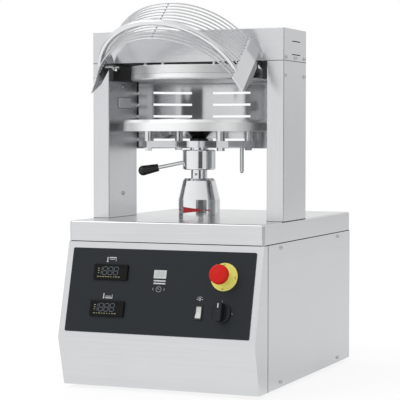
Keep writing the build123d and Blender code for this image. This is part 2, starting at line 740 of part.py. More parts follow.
with BuildPart() as rear_shield:
    with BuildSketch(at_height(SHIELD_BOTTOM)):
        with BuildLine():
            inner = CenterArc((0, 0), SHIELD_R, REARWARD - SHIELD_HALF, 2 * SHIELD_HALF)
            outer = CenterArc((0, 0), SHIELD_R + SHEET, REARWARD - SHIELD_HALF, 2 * SHIELD_HALF)
            Line(inner @ 0, outer @ 0)
            Line(inner @ 1, outer @ 1)
        make_face()
        for side in (-1, 1):
            with Locations((side * (shield_end_x + SHEET / 2), (column_back_y + shield_end_y + SHEET) / 2)):
                Rectangle(SHEET, shield_end_y + SHEET - column_back_y)
            with Locations((side * (shield_end_x + SHIELD_FLANGE / 2), column_back_y + SHEET / 2)):
                Rectangle(SHIELD_FLANGE, SHEET)
    extrude(amount=COLUMN_TOP - SHIELD_BOTTOM)
    for row in range(SLOT_ROWS):
        for turn in (-SLOT_TURN, 0, SLOT_TURN):
            slot_start = REARWARD + turn - SLOT_SPAN / 2
            with BuildSketch(at_height(SLOT_TOP - row * SLOT_PITCH - SLOT_H / 2)):
                with BuildLine():
                    near = CenterArc((0, 0), SHIELD_R - SHEET, slot_start, SLOT_SPAN)
                    far = CenterArc((0, 0), SHIELD_R + 2 * SHEET, slot_start, SLOT_SPAN)
                    Line(near @ 0, far @ 0)
                    Line(near @ 1, far @ 1)
                make_face()
            extrude(amount=SLOT_H, mode=Mode.SUBTRACT)
    drill(shield_screws, 2 * SHEET)
save(rear_shield, "rear_shield")

with BuildPart() as frame_bolts:
    foot_nut = LID_TOP + COLUMN_PLATE
    beam_top = COLUMN_TOP + BEAM_PLATE
    top_nut = COLUMN_TOP - COLUMN_PLATE - BOLT_HEAD_T
    foot_bolt = (RAIL_BOTTOM - BOLT_HEAD_T, foot_nut + BOLT_HEAD_T)
    for low, high in (foot_bolt, (top_nut, beam_top + BOLT_HEAD_T)):
        with BuildSketch(at_height(low)):
            with GridLocations(2 * COLUMN_X, BOLT_PITCH, 2, 2):
                Circle(BOLT_D / 2)
        extrude(amount=high - low)
        for level in (low, high - BOLT_HEAD_T):
            with BuildSketch(at_height(level)):
                with GridLocations(2 * COLUMN_X, BOLT_PITCH, 2, 2):
                    RegularPolygon(BOLT_HEAD_D / 2, 6)
            extrude(amount=BOLT_HEAD_T)
save(frame_bolts, "frame_bolts")

with BuildPart() as cover_screws:
    all_screws = side_screws + rear_screws + head_screws + column_screws + shield_screws + cover_screws_top
    for x, y, z, direction in all_screws:
        screw_plane = Plane(origin=(x, y, z), z_dir=direction)
        with BuildSketch(screw_plane):
            Circle(SCREW_HEAD_D / 2)
        extrude(amount=SCREW_HEAD_T, taper=degrees(atan2(SCREW_HEAD_EDGE, SCREW_HEAD_T)))
        with BuildSketch(screw_plane):
            Circle(SCREW_SHANK_D / 2)
        extrude(amount=-SCREW_GRIP)
save(cover_screws, "cover_screws")

# Upper plate

with BuildPart() as upper_platen:
    with BuildSketch(at_height(UPPER_BOTTOM)):
        Circle(UPPER_R)
    extrude(amount=UPPER_T)
    chamfer(upper_platen.edges().group_by(Axis.Z)[0], UPPER_BEVEL)
    with BuildSketch(at_height(UPPER_TOP)):
        with PolarLocations(UPPER_STUD_R, 4, start_angle=ARM_TURN):
            Circle(BOLT_D / 2)
    extrude(amount=-UPPER_T / 2, mode=Mode.SUBTRACT)
save(upper_platen, "upper_platen")

with BuildPart() as upper_heater:
    with BuildSketch(RAM_SECTION):
        with Locations((HEATER_R, UPPER_TOP + HEATER_D / 2)):
            Circle(HEATER_D / 2)
    revolve(axis=ram_axis)
save(upper_heater, "upper_heater")

with BuildPart() as upper_cover:
    with BuildSketch(at_height(UPPER_TOP)):
        Circle(UPPER_R - UPPER_COVER_INSET)
    extrude(amount=UPPER_COVER_H)
    fillet(upper_cover.edges().group_by(Axis.Z)[-1], SHEET)
    with BuildSketch(at_height(UPPER_TOP)):
        Circle(UPPER_R - UPPER_COVER_INSET - SHEET)
    extrude(amount=UPPER_COVER_H - SHEET, mode=Mode.SUBTRACT)
    with BuildSketch(at_height(UPPER_COVER_TOP)):
        with PolarLocations(UPPER_STUD_R, 4, start_angle=ARM_TURN):
            Circle(BOLT_D / 2 + HOLE)
    extrude(amount=-2 * SHEET, mode=Mode.SUBTRACT)
    drill(cover_screws_top, 2 * SHEET)
save(upper_cover, "upper_cover")

with BuildPart() as upper_studs:
    with BuildSketch(at_height(UPPER_TOP - UPPER_T / 2)):
        with PolarLocations(UPPER_STUD_R, 4, start_angle=ARM_TURN):
            Circle(BOLT_D / 2)
    extrude(amount=beam_top + BOLT_HEAD_T - UPPER_TOP + UPPER_T / 2)
    with BuildSketch(at_height(beam_top)):
        with PolarLocations(UPPER_STUD_R, 4, start_angle=ARM_TURN):
            RegularPolygon(BOLT_HEAD_D / 2, 6)
    extrude(amount=BOLT_HEAD_T)
save(upper_studs, "upper_studs")

# Lower plate, spider and stop rod

with BuildPart() as lower_platen:
    with BuildSketch(RAM_SECTION):
        with BuildLine():
            Polyline(
                (0, LOWER_BOTTOM),
                (LOWER_R, LOWER_BOTTOM),
                (LOWER_R, LOWER_TOP - LOWER_BEVEL),
                (LOWER_R - LOWER_BEVEL_IN, LOWER_TOP),
                (0, LOWER_TOP),
                close=True,
            )
        make_face()
        with Locations((HEATER_R, LOWER_BOTTOM + HEATER_D / 2)):
            Rectangle(HEATER_D, HEATER_D, mode=Mode.SUBTRACT)
    revolve(axis=ram_axis)
save(lower_platen, "lower_platen")

with BuildPart() as lower_heater:
    with BuildSketch(RAM_SECTION):
        with Locations((HEATER_R, LOWER_BOTTOM + HEATER_D / 2)):
            Circle(HEATER_D / 2)
    revolve(axis=ram_axis)
save(lower_heater, "lower_heater")

with BuildPart() as platen_spider:
    with BuildSketch(at_height(SPIDER_BOTTOM)):
        Circle(HUB_R)
        Rectangle(2 * ARM_R, ARM_W, rotation=ARM_TURN)
        Rectangle(2 * ARM_R, ARM_W, rotation=-ARM_TURN)
        Circle(SPIGOT_D / 2 + RUN, mode=Mode.SUBTRACT)
        with PolarLocations(STUD_R, 4, start_angle=ARM_TURN):
            Circle(STUD_D / 2, mode=Mode.SUBTRACT)
        with PolarLocations(STOP_ROD_R, 1, start_angle=ARM_TURN):
            Circle(STOP_ROD_D / 2, mode=Mode.SUBTRACT)
    extrude(amount=SPIDER_T)
save(platen_spider, "platen_spider")

with BuildPart() as platen_studs:
    with BuildSketch(at_height(SPIDER_BOTTOM - NUT_T)):
        with PolarLocations(STUD_R, 4, start_angle=ARM_TURN):
            Circle(STUD_D / 2)
    extrude(amount=LOWER_BOTTOM - SPIDER_BOTTOM + NUT_T)
    with BuildSketch(at_height(SPIDER_BOTTOM - NUT_T)):
        with PolarLocations(STUD_R, 4, start_angle=ARM_TURN):
            RegularPolygon(NUT_D / 2, 6)
    extrude(amount=NUT_T)
    with BuildSketch(at_height(SPIDER_TOP)):
        with PolarLocations(STUD_R, 4, start_angle=ARM_TURN):
            Circle(STUD_SLEEVE_D / 2)
    extrude(amount=STUD_GAP)
save(platen_studs, "platen_studs")

with BuildPart() as heat_boss:
    with BuildSketch(RAM_SECTION):
        with BuildLine():
            Polyline(
                (0, SPIDER_TOP),
                (BOSS_RING_R, SPIDER_TOP),
                (BOSS_RING_R, SPIDER_TOP + BOSS_RING_T),
                (BOSS_LOW_R, SPIDER_TOP + BOSS_RING_T),
                (BOSS_TOP_R, LOWER_BOTTOM),
                (0, LOWER_BOTTOM),
                close=True,
            )
        make_face()
    revolve(axis=ram_axis)
    with BuildSketch(at_height(SPIDER_TOP)):
        Circle(SPIGOT_D / 2 + RUN)
    extrude(amount=COLLAR_SEAT, mode=Mode.SUBTRACT)
save(heat_boss, "heat_boss")

with BuildPart() as stop_rod:
    with BuildSketch(at_height(SPIDER_TOP)):
        with PolarLocations(STOP_ROD_R, 1, start_angle=ARM_TURN):
            Circle(STOP_ROD_D / 2)
    extrude(amount=-STOP_ROD_L)
    fillet(stop_rod.edges().group_by(Axis.Z)[0], STOP_ROD_END_R)
save(stop_rod, "stop_rod")

# Thickness collar with its lever

lever_out = Vector(
    cos(radians(LEVER_TURN)) * cos(radians(LEVER_DROP)),
    sin(radians(LEVER_TURN)) * cos(radians(LEVER_DROP)),
    -sin(radians(LEVER_DROP)),
)
lever_plane = Plane(origin=(0, RAM_Y, LEVER_Z), z_dir=lever_out)
lever_side = Plane(origin=lever_plane.origin, x_dir=lever_out, z_dir=lever_plane.x_dir)
knob_start = LEVER_REACH - KNOB_L

with BuildPart() as thickness_collar:
    with BuildSketch(at_height(COLLAR_BOTTOM)):
        Circle(COLLAR_R)
    extrude(amount=COLLAR_H)
    fillet(thickness_collar.edges().filter_by(GeomType.CIRCLE), COLLAR_EDGE)
    with BuildSketch(at_height(COLLAR_TOP)):
        Circle(COLLAR_NECK_R)
    extrude(amount=COLLAR_GAP - SLACK)
    with BuildSketch(at_height(COLLAR_BOTTOM)):
        Circle(THREAD_D / 2 + RUN)
    extrude(amount=COLLAR_H + COLLAR_GAP, mode=Mode.SUBTRACT)
    with BuildSketch(at_height(COLLAR_BOTTOM)):
        Circle(RAM_D / 2 + SLACK)
    extrude(amount=COLLAR_SOCKET + COLLAR_SEAT, mode=Mode.SUBTRACT)
    with BuildSketch(lever_plane.offset(LEVER_ROOT)):
        Circle(LEVER_D / 2)
    extrude(amount=COLLAR_R, mode=Mode.SUBTRACT)
save(thickness_collar, "thickness_collar")

with BuildPart() as lever_rod:
    with BuildSketch(lever_plane.offset(LEVER_ROOT)):
        Circle(LEVER_D / 2)
    extrude(amount=knob_start + KNOB_GRIP - LEVER_ROOT)
save(lever_rod, "lever_rod")

with BuildPart() as lever_knob:
    with BuildSketch(lever_side):
        with BuildLine():
            ball = LEVER_REACH - KNOB_R
            Polyline((LEVER_REACH, 0), (knob_start, 0), (knob_start, KNOB_ROOT_R), (ball, KNOB_R))
            CenterArc((ball, 0), KNOB_R, 0, 90)
        make_face()
    revolve(axis=Axis(lever_side.origin, lever_out))
    with BuildSketch(lever_plane.offset(knob_start)):
        Circle(LEVER_D / 2)
    extrude(amount=KNOB_GRIP, mode=Mode.SUBTRACT)
save(lever_knob, "lever_knob")

# Ram, cone cover and guide bush

with BuildPart() as ram:
    with BuildSketch(at_height(RAM_BOTTOM)):
        Circle(RAM_D / 2)
    extrude(amount=RAM_SHOULDER - RAM_BOTTOM)
    with BuildSketch(at_height(RAM_SHOULDER)):
        Circle(THREAD_D / 2)
    extrude(amount=THREAD_TOP - RAM_SHOULDER)
    with BuildSketch(at_height(THREAD_TOP)):
        Circle(SPIGOT_D / 2)
    extrude(amount=SPIGOT_TOP - THREAD_TOP)
    with BuildSketch(at_height(RAM_BOTTOM)):
        Circle(RAM_BORE / 2)
    extrude(amount=RAM_BORE_L, mode=Mode.SUBTRACT)
save(ram, "ram")

cone_top = LID_TOP + CONE_H
cone_shoulder = cone_top - CONE_SHOULDER

with BuildPart() as cone_cover:
    with BuildSketch(RAM_SECTION):
        with BuildLine():
            Polyline(
                (CONE_R - CONE_WALL, LID_TOP),
                (CONE_R, LID_TOP),
                (CONE_R, LID_TOP + CONE_STRAIGHT),
                (CONE_TOP_R, cone_shoulder),
                (CONE_RIM_R, cone_top),
                (RAM_D / 2 + SLACK, cone_top),
                (RAM_D / 2 + SLACK, cone_shoulder),
                (CONE_TOP_R - CONE_WALL, cone_shoulder),
                (CONE_R - CONE_WALL, LID_TOP + CONE_STRAIGHT),
                close=True,
            )
        make_face()
    revolve(axis=ram_axis)
save(cone_cover, "cone_cover")

with BuildPart() as guide_bush:
    with BuildSketch(at_height(GUIDE_BOTTOM)):
        Circle(BUSH_FLANGE_D / 2)
    extrude(amount=-BUSH_FLANGE_T)
    with BuildSketch(at_height(GUIDE_BOTTOM)):
        Circle(BUSH_OD / 2)
    extrude(amount=BUSH_L)
    with BuildSketch(at_height(GUIDE_BOTTOM - BUSH_FLANGE_T)):
        Circle(RAM_D / 2 + RUN)
    extrude(amount=BUSH_L + BUSH_FLANGE_T, mode=Mode.SUBTRACT)
save(guide_bush, "guide_bush")

# Drive: lead screw in the ram, gear pair and gearmotor

with BuildPart() as ram_nut:
    with BuildSketch(at_height(RAM_BOTTOM)):
        Circle(NUT_FLANGE_D / 2)
    extrude(amount=-NUT_FLANGE_T)
    with BuildSketch(at_height(RAM_BOTTOM)):
        Circle(RAM_BORE / 2)
    extrude(amount=NUT_BODY_L)
    with BuildSketch(at_height(RAM_BOTTOM - NUT_FLANGE_T)):
        Circle(SCREW_D / 2 + RUN)
    extrude(amount=NUT_BODY_L + NUT_FLANGE_T, mode=Mode.SUBTRACT)
save(ram_nut, "ram_nut")

with BuildPart() as lead_screw:
    with BuildSketch(at_height(PAN_TOP + SLACK)):
        Circle(SCREW_JOURNAL_D / 2)
    extrude(amount=BEARING_H)
    with BuildSketch(at_height(PAN_TOP + BEARING_H + SLACK)):
        Circle(SCREW_D / 2)
    extrude(amount=SCREW_TOP - PAN_TOP - BEARING_H - SLACK)
save(lead_screw, "lead_screw")


def spur_gear(teeth, first_tooth):
    """Draw a spur gear with straight-sided teeth, one of them at the angle first_tooth."""
    pitch_r = GEAR_MODULE * teeth / 2
    root_r = pitch_r - DEDENDUM
    tip_r = pitch_r + ADDENDUM
    slope = tan(radians(PRESSURE_ANGLE))
    root_half = TOOTH_HALF + DEDENDUM * slope
    tip_half = TOOTH_HALF - ADDENDUM * slope
    Circle(root_r)
    with PolarLocations(0, teeth, start_angle=first_tooth):
        Polygon(
            (root_r - 1, -root_half),
            (root_r, -root_half),
            (tip_r, -tip_half),
            (tip_r, tip_half),
            (root_r, root_half),
            (root_r - 1, root_half),
            align=None,
        )


with BuildPart() as drive_gear:
    with BuildSketch(at_height(GEAR_Z)):
        spur_gear(GEAR_TEETH, 90)
        Circle(SCREW_D / 2, mode=Mode.SUBTRACT)
    extrude(amount=GEAR_W)
save(drive_gear, "drive_gear")

with BuildPart() as pinion:
    with BuildSketch(at_height(GEAR_Z, y=MOTOR_Y)):
        spur_gear(PINION_TEETH, 180 / PINION_TEETH - 90)
    extrude(amount=GEAR_W)
    with BuildSketch(at_height(GEAR_Z, y=MOTOR_Y)):
        Circle(MOTOR_SHAFT_D / 2)
    extrude(amount=SHELF_TOP + MOTOR_SHAFT_IN - GEAR_Z)
save(pinion, "pinion")

with BuildPart() as gearmotor:
    with BuildSketch(at_height(SHELF_TOP, y=MOTOR_Y)):
        Circle(MOTOR_D / 2)
    extrude(amount=GEARBOX_L)
    with BuildSketch(at_height(SHELF_TOP + GEARBOX_L, y=MOTOR_Y)):
        Circle(MOTOR_D / 2 - MOTOR_STEP)
    extrude(amount=MOTOR_L)
    with BuildSketch(at_height(SHELF_TOP, y=MOTOR_Y)):
        Circle(MOTOR_SHAFT_D / 2 + RUN)
    extrude(amount=MOTOR_SHAFT_IN + SLACK, mode=Mode.SUBTRACT)
save(gearmotor, "gearmotor")

with BuildPart() as bearing_housing:
    with BuildSketch(at_height(PAN_TOP)):
        Circle(BEARING_D / 2)
    extrude(amount=BEARING_H)
    fillet(bearing_housing.edges().group_by(Axis.Z)[-1], BEARING_EDGE)
    with BuildSketch(at_height(PAN_TOP)):
        Circle(SCREW_JOURNAL_D / 2 + RUN)
    extrude(amount=BEARING_H, mode=Mode.SUBTRACT)
save(bearing_housing, "bearing_housing")

# Guard: cheeks, wire grid, handle and hinges

wire_pitch = (WIRE_TOP - WIRE_BOTTOM) / (WIRE_COUNT - 1)
wire_centre = WIRE_R - WIRE_REACH
wire_end = Vector(WIRE_END_X, wire_centre - sqrt(WIRE_R**2 - WIRE_END_X**2))
cheek_run = (Vector(CHEEK_X, CHEEK_BEND) - wire_end).normalized()
cheek_normal = Vector(cheek_run.Y, -cheek_run.X)
cheek_slope = cheek_run.Y / cheek_run.X
edge_out = wire_end + cheek_normal * (WIRE_D / 2)
edge_in = edge_out - cheek_normal * CHEEK_T
bend_out = Vector(CHEEK_X + CHEEK_T / 2, edge_out.Y + (CHEEK_X + CHEEK_T / 2 - edge_out.X) * cheek_slope)
bend_in = Vector(CHEEK_X - CHEEK_T / 2, edge_in.Y + (CHEEK_X - CHEEK_T / 2 - edge_in.X) * cheek_slope)

with BuildPart() as guard_cheeks:
    with BuildSketch(GUARD.offset(CHEEK_TIP)):
        with BuildLine():
            Polyline(
                (edge_out.X, edge_out.Y),
                (bend_out.X, bend_out.Y),
                (bend_out.X, LUG_R),
                (bend_in.X, LUG_R),
                (bend_in.X, bend_in.Y),
                (edge_in.X, edge_in.Y),
                close=True,
            )
        make_face()
    extrude(amount=CHEEK_EDGE_TOP - CHEEK_TIP)
    with BuildSketch(GUARD_SIDE):
        with BuildLine():
            Polyline(
                (0, LUG_R),
                (NECK_Y, NECK_Z),
                (CHEEK_BACK, CHEEK_TOP),
                (CHEEK_BEND, CHEEK_TOP),
                (wire_end.Y + CHEEK_T, CHEEK_EDGE_TOP),
                (wire_end.Y - CHEEK_T, CHEEK_EDGE_TOP),
                (wire_end.Y - CHEEK_T, CHEEK_EDGE_BOTTOM),
                (CHEEK_BEND, CHEEK_TIP),
                (CHEEK_BACK, CHEEK_TAPER),
                (CHEEK_BACK, CHEEK_NOTCH),
                (0, -LUG_R),
            )
            ThreePointArc((0, -LUG_R), (LUG_R, 0), (0, LUG_R))
        make_face()
        Circle(PIN_D / 2 + RUN, mode=Mode.SUBTRACT)
    extrude(amount=HALF_W, mode=Mode.INTERSECT)
    mirror(about=Plane.YZ)
save(guard_cheeks, "guard_cheeks")

wire_over = wire_end + cheek_run * WIRE_D
wire_over_angle = degrees(atan2(wire_over.Y - wire_centre, wire_over.X))

with BuildPart() as guard_wires:
    for row in range(WIRE_COUNT):
        with BuildLine(GUARD.offset(WIRE_TOP - row * wire_pitch)) as wire_path:
            CenterArc((0, wire_centre), WIRE_R, 180 - wire_over_angle, 180 + 2 * wire_over_angle)
        with BuildSketch(Plane(origin=wire_path.line @ 0, z_dir=wire_path.line % 0)):
            Circle(WIRE_D / 2)
        sweep(path=wire_path.line)
    with BuildSketch(GUARD.offset(WIRE_BOTTOM)):
        with Locations((0, WIRE_D - TIE_SINK - WIRE_REACH)):
            Circle(WIRE_D / 2)
    extrude(amount=WIRE_TOP - WIRE_BOTTOM)
    with BuildSketch(GUARD.offset(CHEEK_EDGE_BOTTOM)):
        for side in (-1, 1):
            with BuildLine():
                trim = [wire_end - cheek_normal * LUG_R, wire_end + cheek_normal * LUG_R]
                trim += [trim[1] + cheek_run * LUG_R, trim[0] + cheek_run * LUG_R]
                Polyline(*[(side * corner.X, corner.Y) for corner in trim], close=True)
            make_face()
    extrude(amount=CHEEK_EDGE_TOP - CHEEK_EDGE_BOTTOM, mode=Mode.SUBTRACT)
save(guard_wires, "guard_wires")

handle_centre = HANDLE_R - HANDLE_REACH

with BuildPart() as guard_handle:
    with BuildLine(GUARD.offset(HANDLE_Z)) as handle_path:
        ThreePointArc((-HANDLE_R, handle_centre), (0, -HANDLE_REACH), (HANDLE_R, handle_centre))
    with BuildSketch(Plane(origin=handle_path.line @ 0, z_dir=handle_path.line % 0)):
        Circle(HANDLE_D / 2)
    sweep(path=handle_path.line)
    with BuildSketch(GUARD.offset(HANDLE_Z - HANDLE_D)):
        with Locations((0, wire_centre)):
            Circle(WIRE_R + WIRE_D / 2)
        with BuildLine():
            Polyline(
                (-edge_out.X, edge_out.Y),
                (edge_out.X, edge_out.Y),
                (bend_out.X, bend_out.Y),
                (bend_out.X, LUG_R),
                (-bend_out.X, LUG_R),
                (-bend_out.X, bend_out.Y),
                close=True,
            )
        make_face()
    extrude(amount=2 * HANDLE_D, mode=Mode.SUBTRACT)
save(guard_handle, "guard_handle")

with BuildPart() as hinge_blocks:
    with BuildSketch(Plane.YZ.offset(COLUMN_IN - BLOCK_T)):
        with Locations((COLUMN_FRONT + BLOCK_SETBACK + BLOCK_L / 2, COLUMN_TOP - BLOCK_DROP - BLOCK_H / 2)):
            RectangleRounded(BLOCK_L, BLOCK_H, BLOCK_EDGE_R)
        with Locations((HINGE_Y, HINGE_Z)):
            Circle(PIN_D / 2, mode=Mode.SUBTRACT)
    extrude(amount=BLOCK_T)
    mirror(about=Plane.YZ)
save(hinge_blocks, "hinge_blocks")

with BuildPart() as hinge_pins:
    with BuildSketch(GUARD_SIDE.offset(COLUMN_IN)):
        Circle(PIN_D / 2)
    extrude(amount=CHEEK_X - CHEEK_T / 2 - PIN_GAP - COLUMN_IN)
    with BuildSketch(GUARD_SIDE.offset(CHEEK_X - CHEEK_T / 2 - PIN_GAP)):
        Circle(PIN_HEAD_D / 2)
    extrude(amount=-PIN_HEAD_T)
    mirror(about=Plane.YZ)
save(hinge_pins, "hinge_pins")

# Control panel

with BuildPart() as control_overlay:
    with BuildSketch(on_panel(0, OVERLAY_TOP + OVERLAY_H / 2)):
        RectangleRounded(OVERLAY_W, OVERLAY_H, OVERLAY_CORNER_R)
    extrude(amount=OVERLAY_T)
    cut_controls(3 * OVERLAY_T)
save(control_overlay, "control_overlay")

controllers = {"upper_controller": upper_controller_plane, "lower_controller": lower_controller_plane}
for name, plane in controllers.items():
    with BuildPart() as controller:
        with BuildSketch(plane.offset(OVERLAY_T)):
            RectangleRounded(CONTROLLER_W, CONTROLLER_H, 2 * CONTROLLER_EDGE_R)
        extrude(amount=CONTROLLER_BEZEL)
        fillet(controller.faces().sort_by(Axis(plane.origin, plane.z_dir))[-1].edges(), CONTROLLER_EDGE_R)
        with BuildSketch(plane.offset(OVERLAY_T)):
            Rectangle(controller_body[0], controller_body[1])
        extrude(amount=-CONTROLLER_DEEP)
        with BuildSketch(plane.offset(OVERLAY_T + CONTROLLER_BEZEL)):
            Rectangle(WINDOW_W, WINDOW_H)
        extrude(amount=-WINDOW_SINK, mode=Mode.SUBTRACT)
    save(controller, name)

board_top = -SHEET - BOARD_GAP

with BuildPart() as timer_module:
    with BuildSketch(on_panel(TIMER_X, BOARD_DOWN, board_top)):
        Rectangle(BOARD_W, BOARD_H)
    extrude(amount=-BOARD_T)
    with BuildSketch(on_panel(TIMER_X, BOARD_DOWN, board_top)):
        with GridLocations(BOARD_W - 2 * BOARD_PEG_INSET, BOARD_H - 2 * BOARD_PEG_INSET, 2, 2):
            Circle(BOARD_PEG_D / 2)
    extrude(amount=BOARD_GAP)
    with BuildSketch(display_plane.offset(board_top)):
        Rectangle(DISPLAY_W, DISPLAY_H)
    extrude(amount=OVERLAY_T - DISPLAY_SINK - board_top)
save(timer_module, "timer_module")

timer_keys = (
    (left_key_plane, "timer_key_left"),
    (set_key_plane, "timer_key_set"),
    (right_key_plane, "timer_key_right"),
)
for plane, name in timer_keys:
    with BuildPart() as timer_key:
        with BuildSketch(plane.offset(-SHEET - KEY_FLANGE_GAP)):
            Circle(KEY_D / 2)
        extrude(amount=SHEET + KEY_FLANGE_GAP + OVERLAY_T + KEY_PROUD)
        with BuildSketch(plane.offset(-SHEET - KEY_FLANGE_GAP)):
            Circle(KEY_FLANGE_D / 2)
        extrude(amount=-KEY_FLANGE_T)
    save(timer_key, name)

with BuildPart() as estop_disc:
    with BuildSketch(estop_plane.offset(OVERLAY_T)):
        Circle(ESTOP_DISC_D / 2)
        Circle(ESTOP_SHANK_D / 2 + HOLE, mode=Mode.SUBTRACT)
    extrude(amount=ESTOP_DISC_T)
save(estop_disc, "estop_disc")

with BuildPart() as estop_body:
    with BuildSketch(estop_plane.offset(OVERLAY_T + ESTOP_DISC_T)):
        Circle(ESTOP_COLLAR_D / 2)
    extrude(amount=ESTOP_COLLAR_TOP - OVERLAY_T - ESTOP_DISC_T)
    estop_axis = Axis(estop_plane.origin, estop_plane.z_dir)
    chamfer(estop_body.faces().sort_by(estop_axis)[-1].edges(), ESTOP_COLLAR_EDGE)
    with BuildSketch(estop_plane.offset(ESTOP_BLOCK_TOP)):
        Circle(ESTOP_SHANK_D / 2)
    extrude(amount=OVERLAY_T + ESTOP_DISC_T - ESTOP_BLOCK_TOP)
    with BuildSketch(estop_plane.offset(ESTOP_BLOCK_TOP)):
        Rectangle(ESTOP_BLOCK, ESTOP_BLOCK)
    extrude(amount=-ESTOP_BLOCK_DEEP)
    with BuildSketch(estop_plane.offset(ESTOP_BORE_LOW)):
        Circle(ESTOP_STEM_D / 2 + RUN)
    extrude(amount=ESTOP_COLLAR_TOP - ESTOP_BORE_LOW, mode=Mode.SUBTRACT)
save(estop_body, "estop_body")

with BuildPart() as estop_stem:
    with BuildSketch(estop_plane.offset(ESTOP_STEM_LOW)):
        Circle(ESTOP_STEM_D / 2)
    extrude(amount=ESTOP_STEM_TOP - ESTOP_STEM_LOW)
    with BuildSketch(estop_plane.offset(ESTOP_STEM_TOP)):
        Circle(ESTOP_SPIGOT_D / 2)
    extrude(amount=ESTOP_SPIGOT_L)
save(estop_stem, "estop_stem")

estop_section = Plane(origin=estop_plane.origin, x_dir=(1, 0, 0), z_dir=-estop_plane.y_dir)

crown_edge = (ESTOP_HEAD_D / 2 - 2 * ESTOP_HEAD_EDGE, ESTOP_HEAD_TOP - ESTOP_CROWN)

with BuildPart() as estop_head:
    with BuildSketch(estop_section):
        with BuildLine():
            rim = ESTOP_HEAD_D / 2
            Polyline(
                (0, ESTOP_HEAD_TOP),
                (0, ESTOP_HEAD_LOW),
                (rim - ESTOP_HEAD_EDGE, ESTOP_HEAD_LOW),
                (rim, ESTOP_HEAD_LOW + ESTOP_HEAD_EDGE),
                (rim, ESTOP_RIM_TOP),
            )
            TangentArc((rim, ESTOP_RIM_TOP), crown_edge, tangent=(0, 1))
            Line(crown_edge, (0, ESTOP_HEAD_TOP))
        make_face()
    revolve(axis=Axis(estop_plane.origin, estop_plane.z_dir))
    with BuildSketch(estop_plane.offset(ESTOP_HEAD_LOW)):
        Circle(ESTOP_SPIGOT_D / 2 + RUN)
    extrude(amount=ESTOP_STEM_TOP + ESTOP_SPIGOT_L + SLACK - ESTOP_HEAD_LOW, mode=Mode.SUBTRACT)
save(estop_head, "estop_head")

with BuildPart() as switch_body:
    with BuildSketch(switch_plane.offset(-SHEET)):
        Circle(SWITCH_NECK_D / 2)
    extrude(amount=SHEET + OVERLAY_T)
    with BuildSketch(switch_plane.offset(-SHEET)):
        Rectangle(SWITCH_BLOCK, SWITCH_BLOCK)
    extrude(amount=-SWITCH_BLOCK_DEEP)
    with BuildSketch(switch_plane.offset(SWITCH_BORE_LOW)):
        Circle(SWITCH_STEM_D / 2 + RUN)
    extrude(amount=OVERLAY_T - SWITCH_BORE_LOW, mode=Mode.SUBTRACT)
save(switch_body, "switch_body")

with BuildPart() as switch_knob:
    with BuildSketch(switch_plane.offset(SWITCH_STEM_LOW)):
        Circle(SWITCH_STEM_D / 2)
    extrude(amount=SWITCH_SKIRT_TOP - SWITCH_STEM_LOW)
    with BuildSketch(switch_plane.offset(OVERLAY_T + SLACK)):
        Circle(SWITCH_KNOB_D / 2)
    extrude(amount=SWITCH_SKIRT_TOP - OVERLAY_T - SLACK)
    switch_axis = Axis(switch_plane.origin, switch_plane.z_dir)
    chamfer(switch_knob.faces().sort_by(switch_axis)[-1].edges(), SWITCH_SKIRT_EDGE)
    with BuildSketch(switch_plane.offset(SWITCH_SKIRT_TOP - SWITCH_SKIRT_EDGE)):
        Rectangle(SWITCH_GRIP_W, SWITCH_GRIP_L)
        Circle(SWITCH_GRIP_L / 2, mode=Mode.INTERSECT)
    extrude(amount=SWITCH_GRIP_TOP - SWITCH_SKIRT_TOP + SWITCH_SKIRT_EDGE)
    chamfer(switch_knob.faces().sort_by(switch_axis)[-1].edges(), SWITCH_GRIP_EDGE)
save(switch_knob, "switch_knob")

rocker_axle = Plane(
    origin=rocker_plane.offset(ROCKER_PIVOT).origin, x_dir=rocker_plane.y_dir, z_dir=(1, 0, 0)
)

with BuildPart() as rocker_bezel:
    with BuildSketch(rocker_plane.offset(OVERLAY_T)):
        Rectangle(rocker_housing[0] + 2 * ROCKER_RIM, rocker_housing[1] + 2 * ROCKER_RIM)
    extrude(amount=ROCKER_RIM_T)
    with BuildSketch(rocker_plane.offset(OVERLAY_T)):
        Rectangle(*rocker_housing)
    extrude(amount=-ROCKER_DEEP)
    with BuildSketch(rocker_plane.offset(OVERLAY_T + ROCKER_RIM_T)):
        Rectangle(*rocker_window)
    extrude(amount=ROCKER_WALL - ROCKER_DEEP - ROCKER_RIM_T, mode=Mode.SUBTRACT)
    with BuildSketch(rocker_axle):
        Circle(ROCKER_PIN_D / 2 + RUN)
    extrude(amount=rocker_housing[0], both=True, mode=Mode.SUBTRACT)
save(rocker_bezel, "rocker_bezel")

tilt = radians(ROCKER_TILT)
rocker_along = rocker_plane.y_dir * cos(tilt) - rocker_plane.z_dir * sin(tilt)
rocker_rest = Plane(origin=rocker_axle.origin, x_dir=rocker_along, z_dir=(1, 0, 0))

with BuildPart() as light_rocker:
    with BuildSketch(rocker_rest):
        with BuildLine():
            Polyline(
                (-ROCKER_L / 2, ROCKER_LOW),
                (ROCKER_L / 2, ROCKER_LOW),
                (ROCKER_L / 2, ROCKER_TOP),
                (0, ROCKER_TOP - ROCKER_DIP),
                (-ROCKER_L / 2, ROCKER_TOP),
                close=True,
            )
        make_face()
        Circle(ROCKER_L / 2, mode=Mode.INTERSECT)
    extrude(amount=ROCKER_W / 2, both=True)
    with BuildSketch(rocker_axle):
        Circle(ROCKER_PIN_D / 2)
    extrude(amount=rocker_housing[0] / 2, both=True)
save(light_rocker, "light_rocker")
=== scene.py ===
# %% [markdown]
# # Dressing a pizza dough press
# The press stands on a counter: a sheet-steel base, two columns with a bridge, two heated plates
# and a wire guard. Its solids come packed as a fixed frame, in metres, with the floor at z = 0 and
# the front facing -Y. This lesson adds what a photograph of the machine shows and solids do not:
# the polish of each metal, the moulded plastics, the printed symbols, the welds and the screws.

# %% The frame
import math

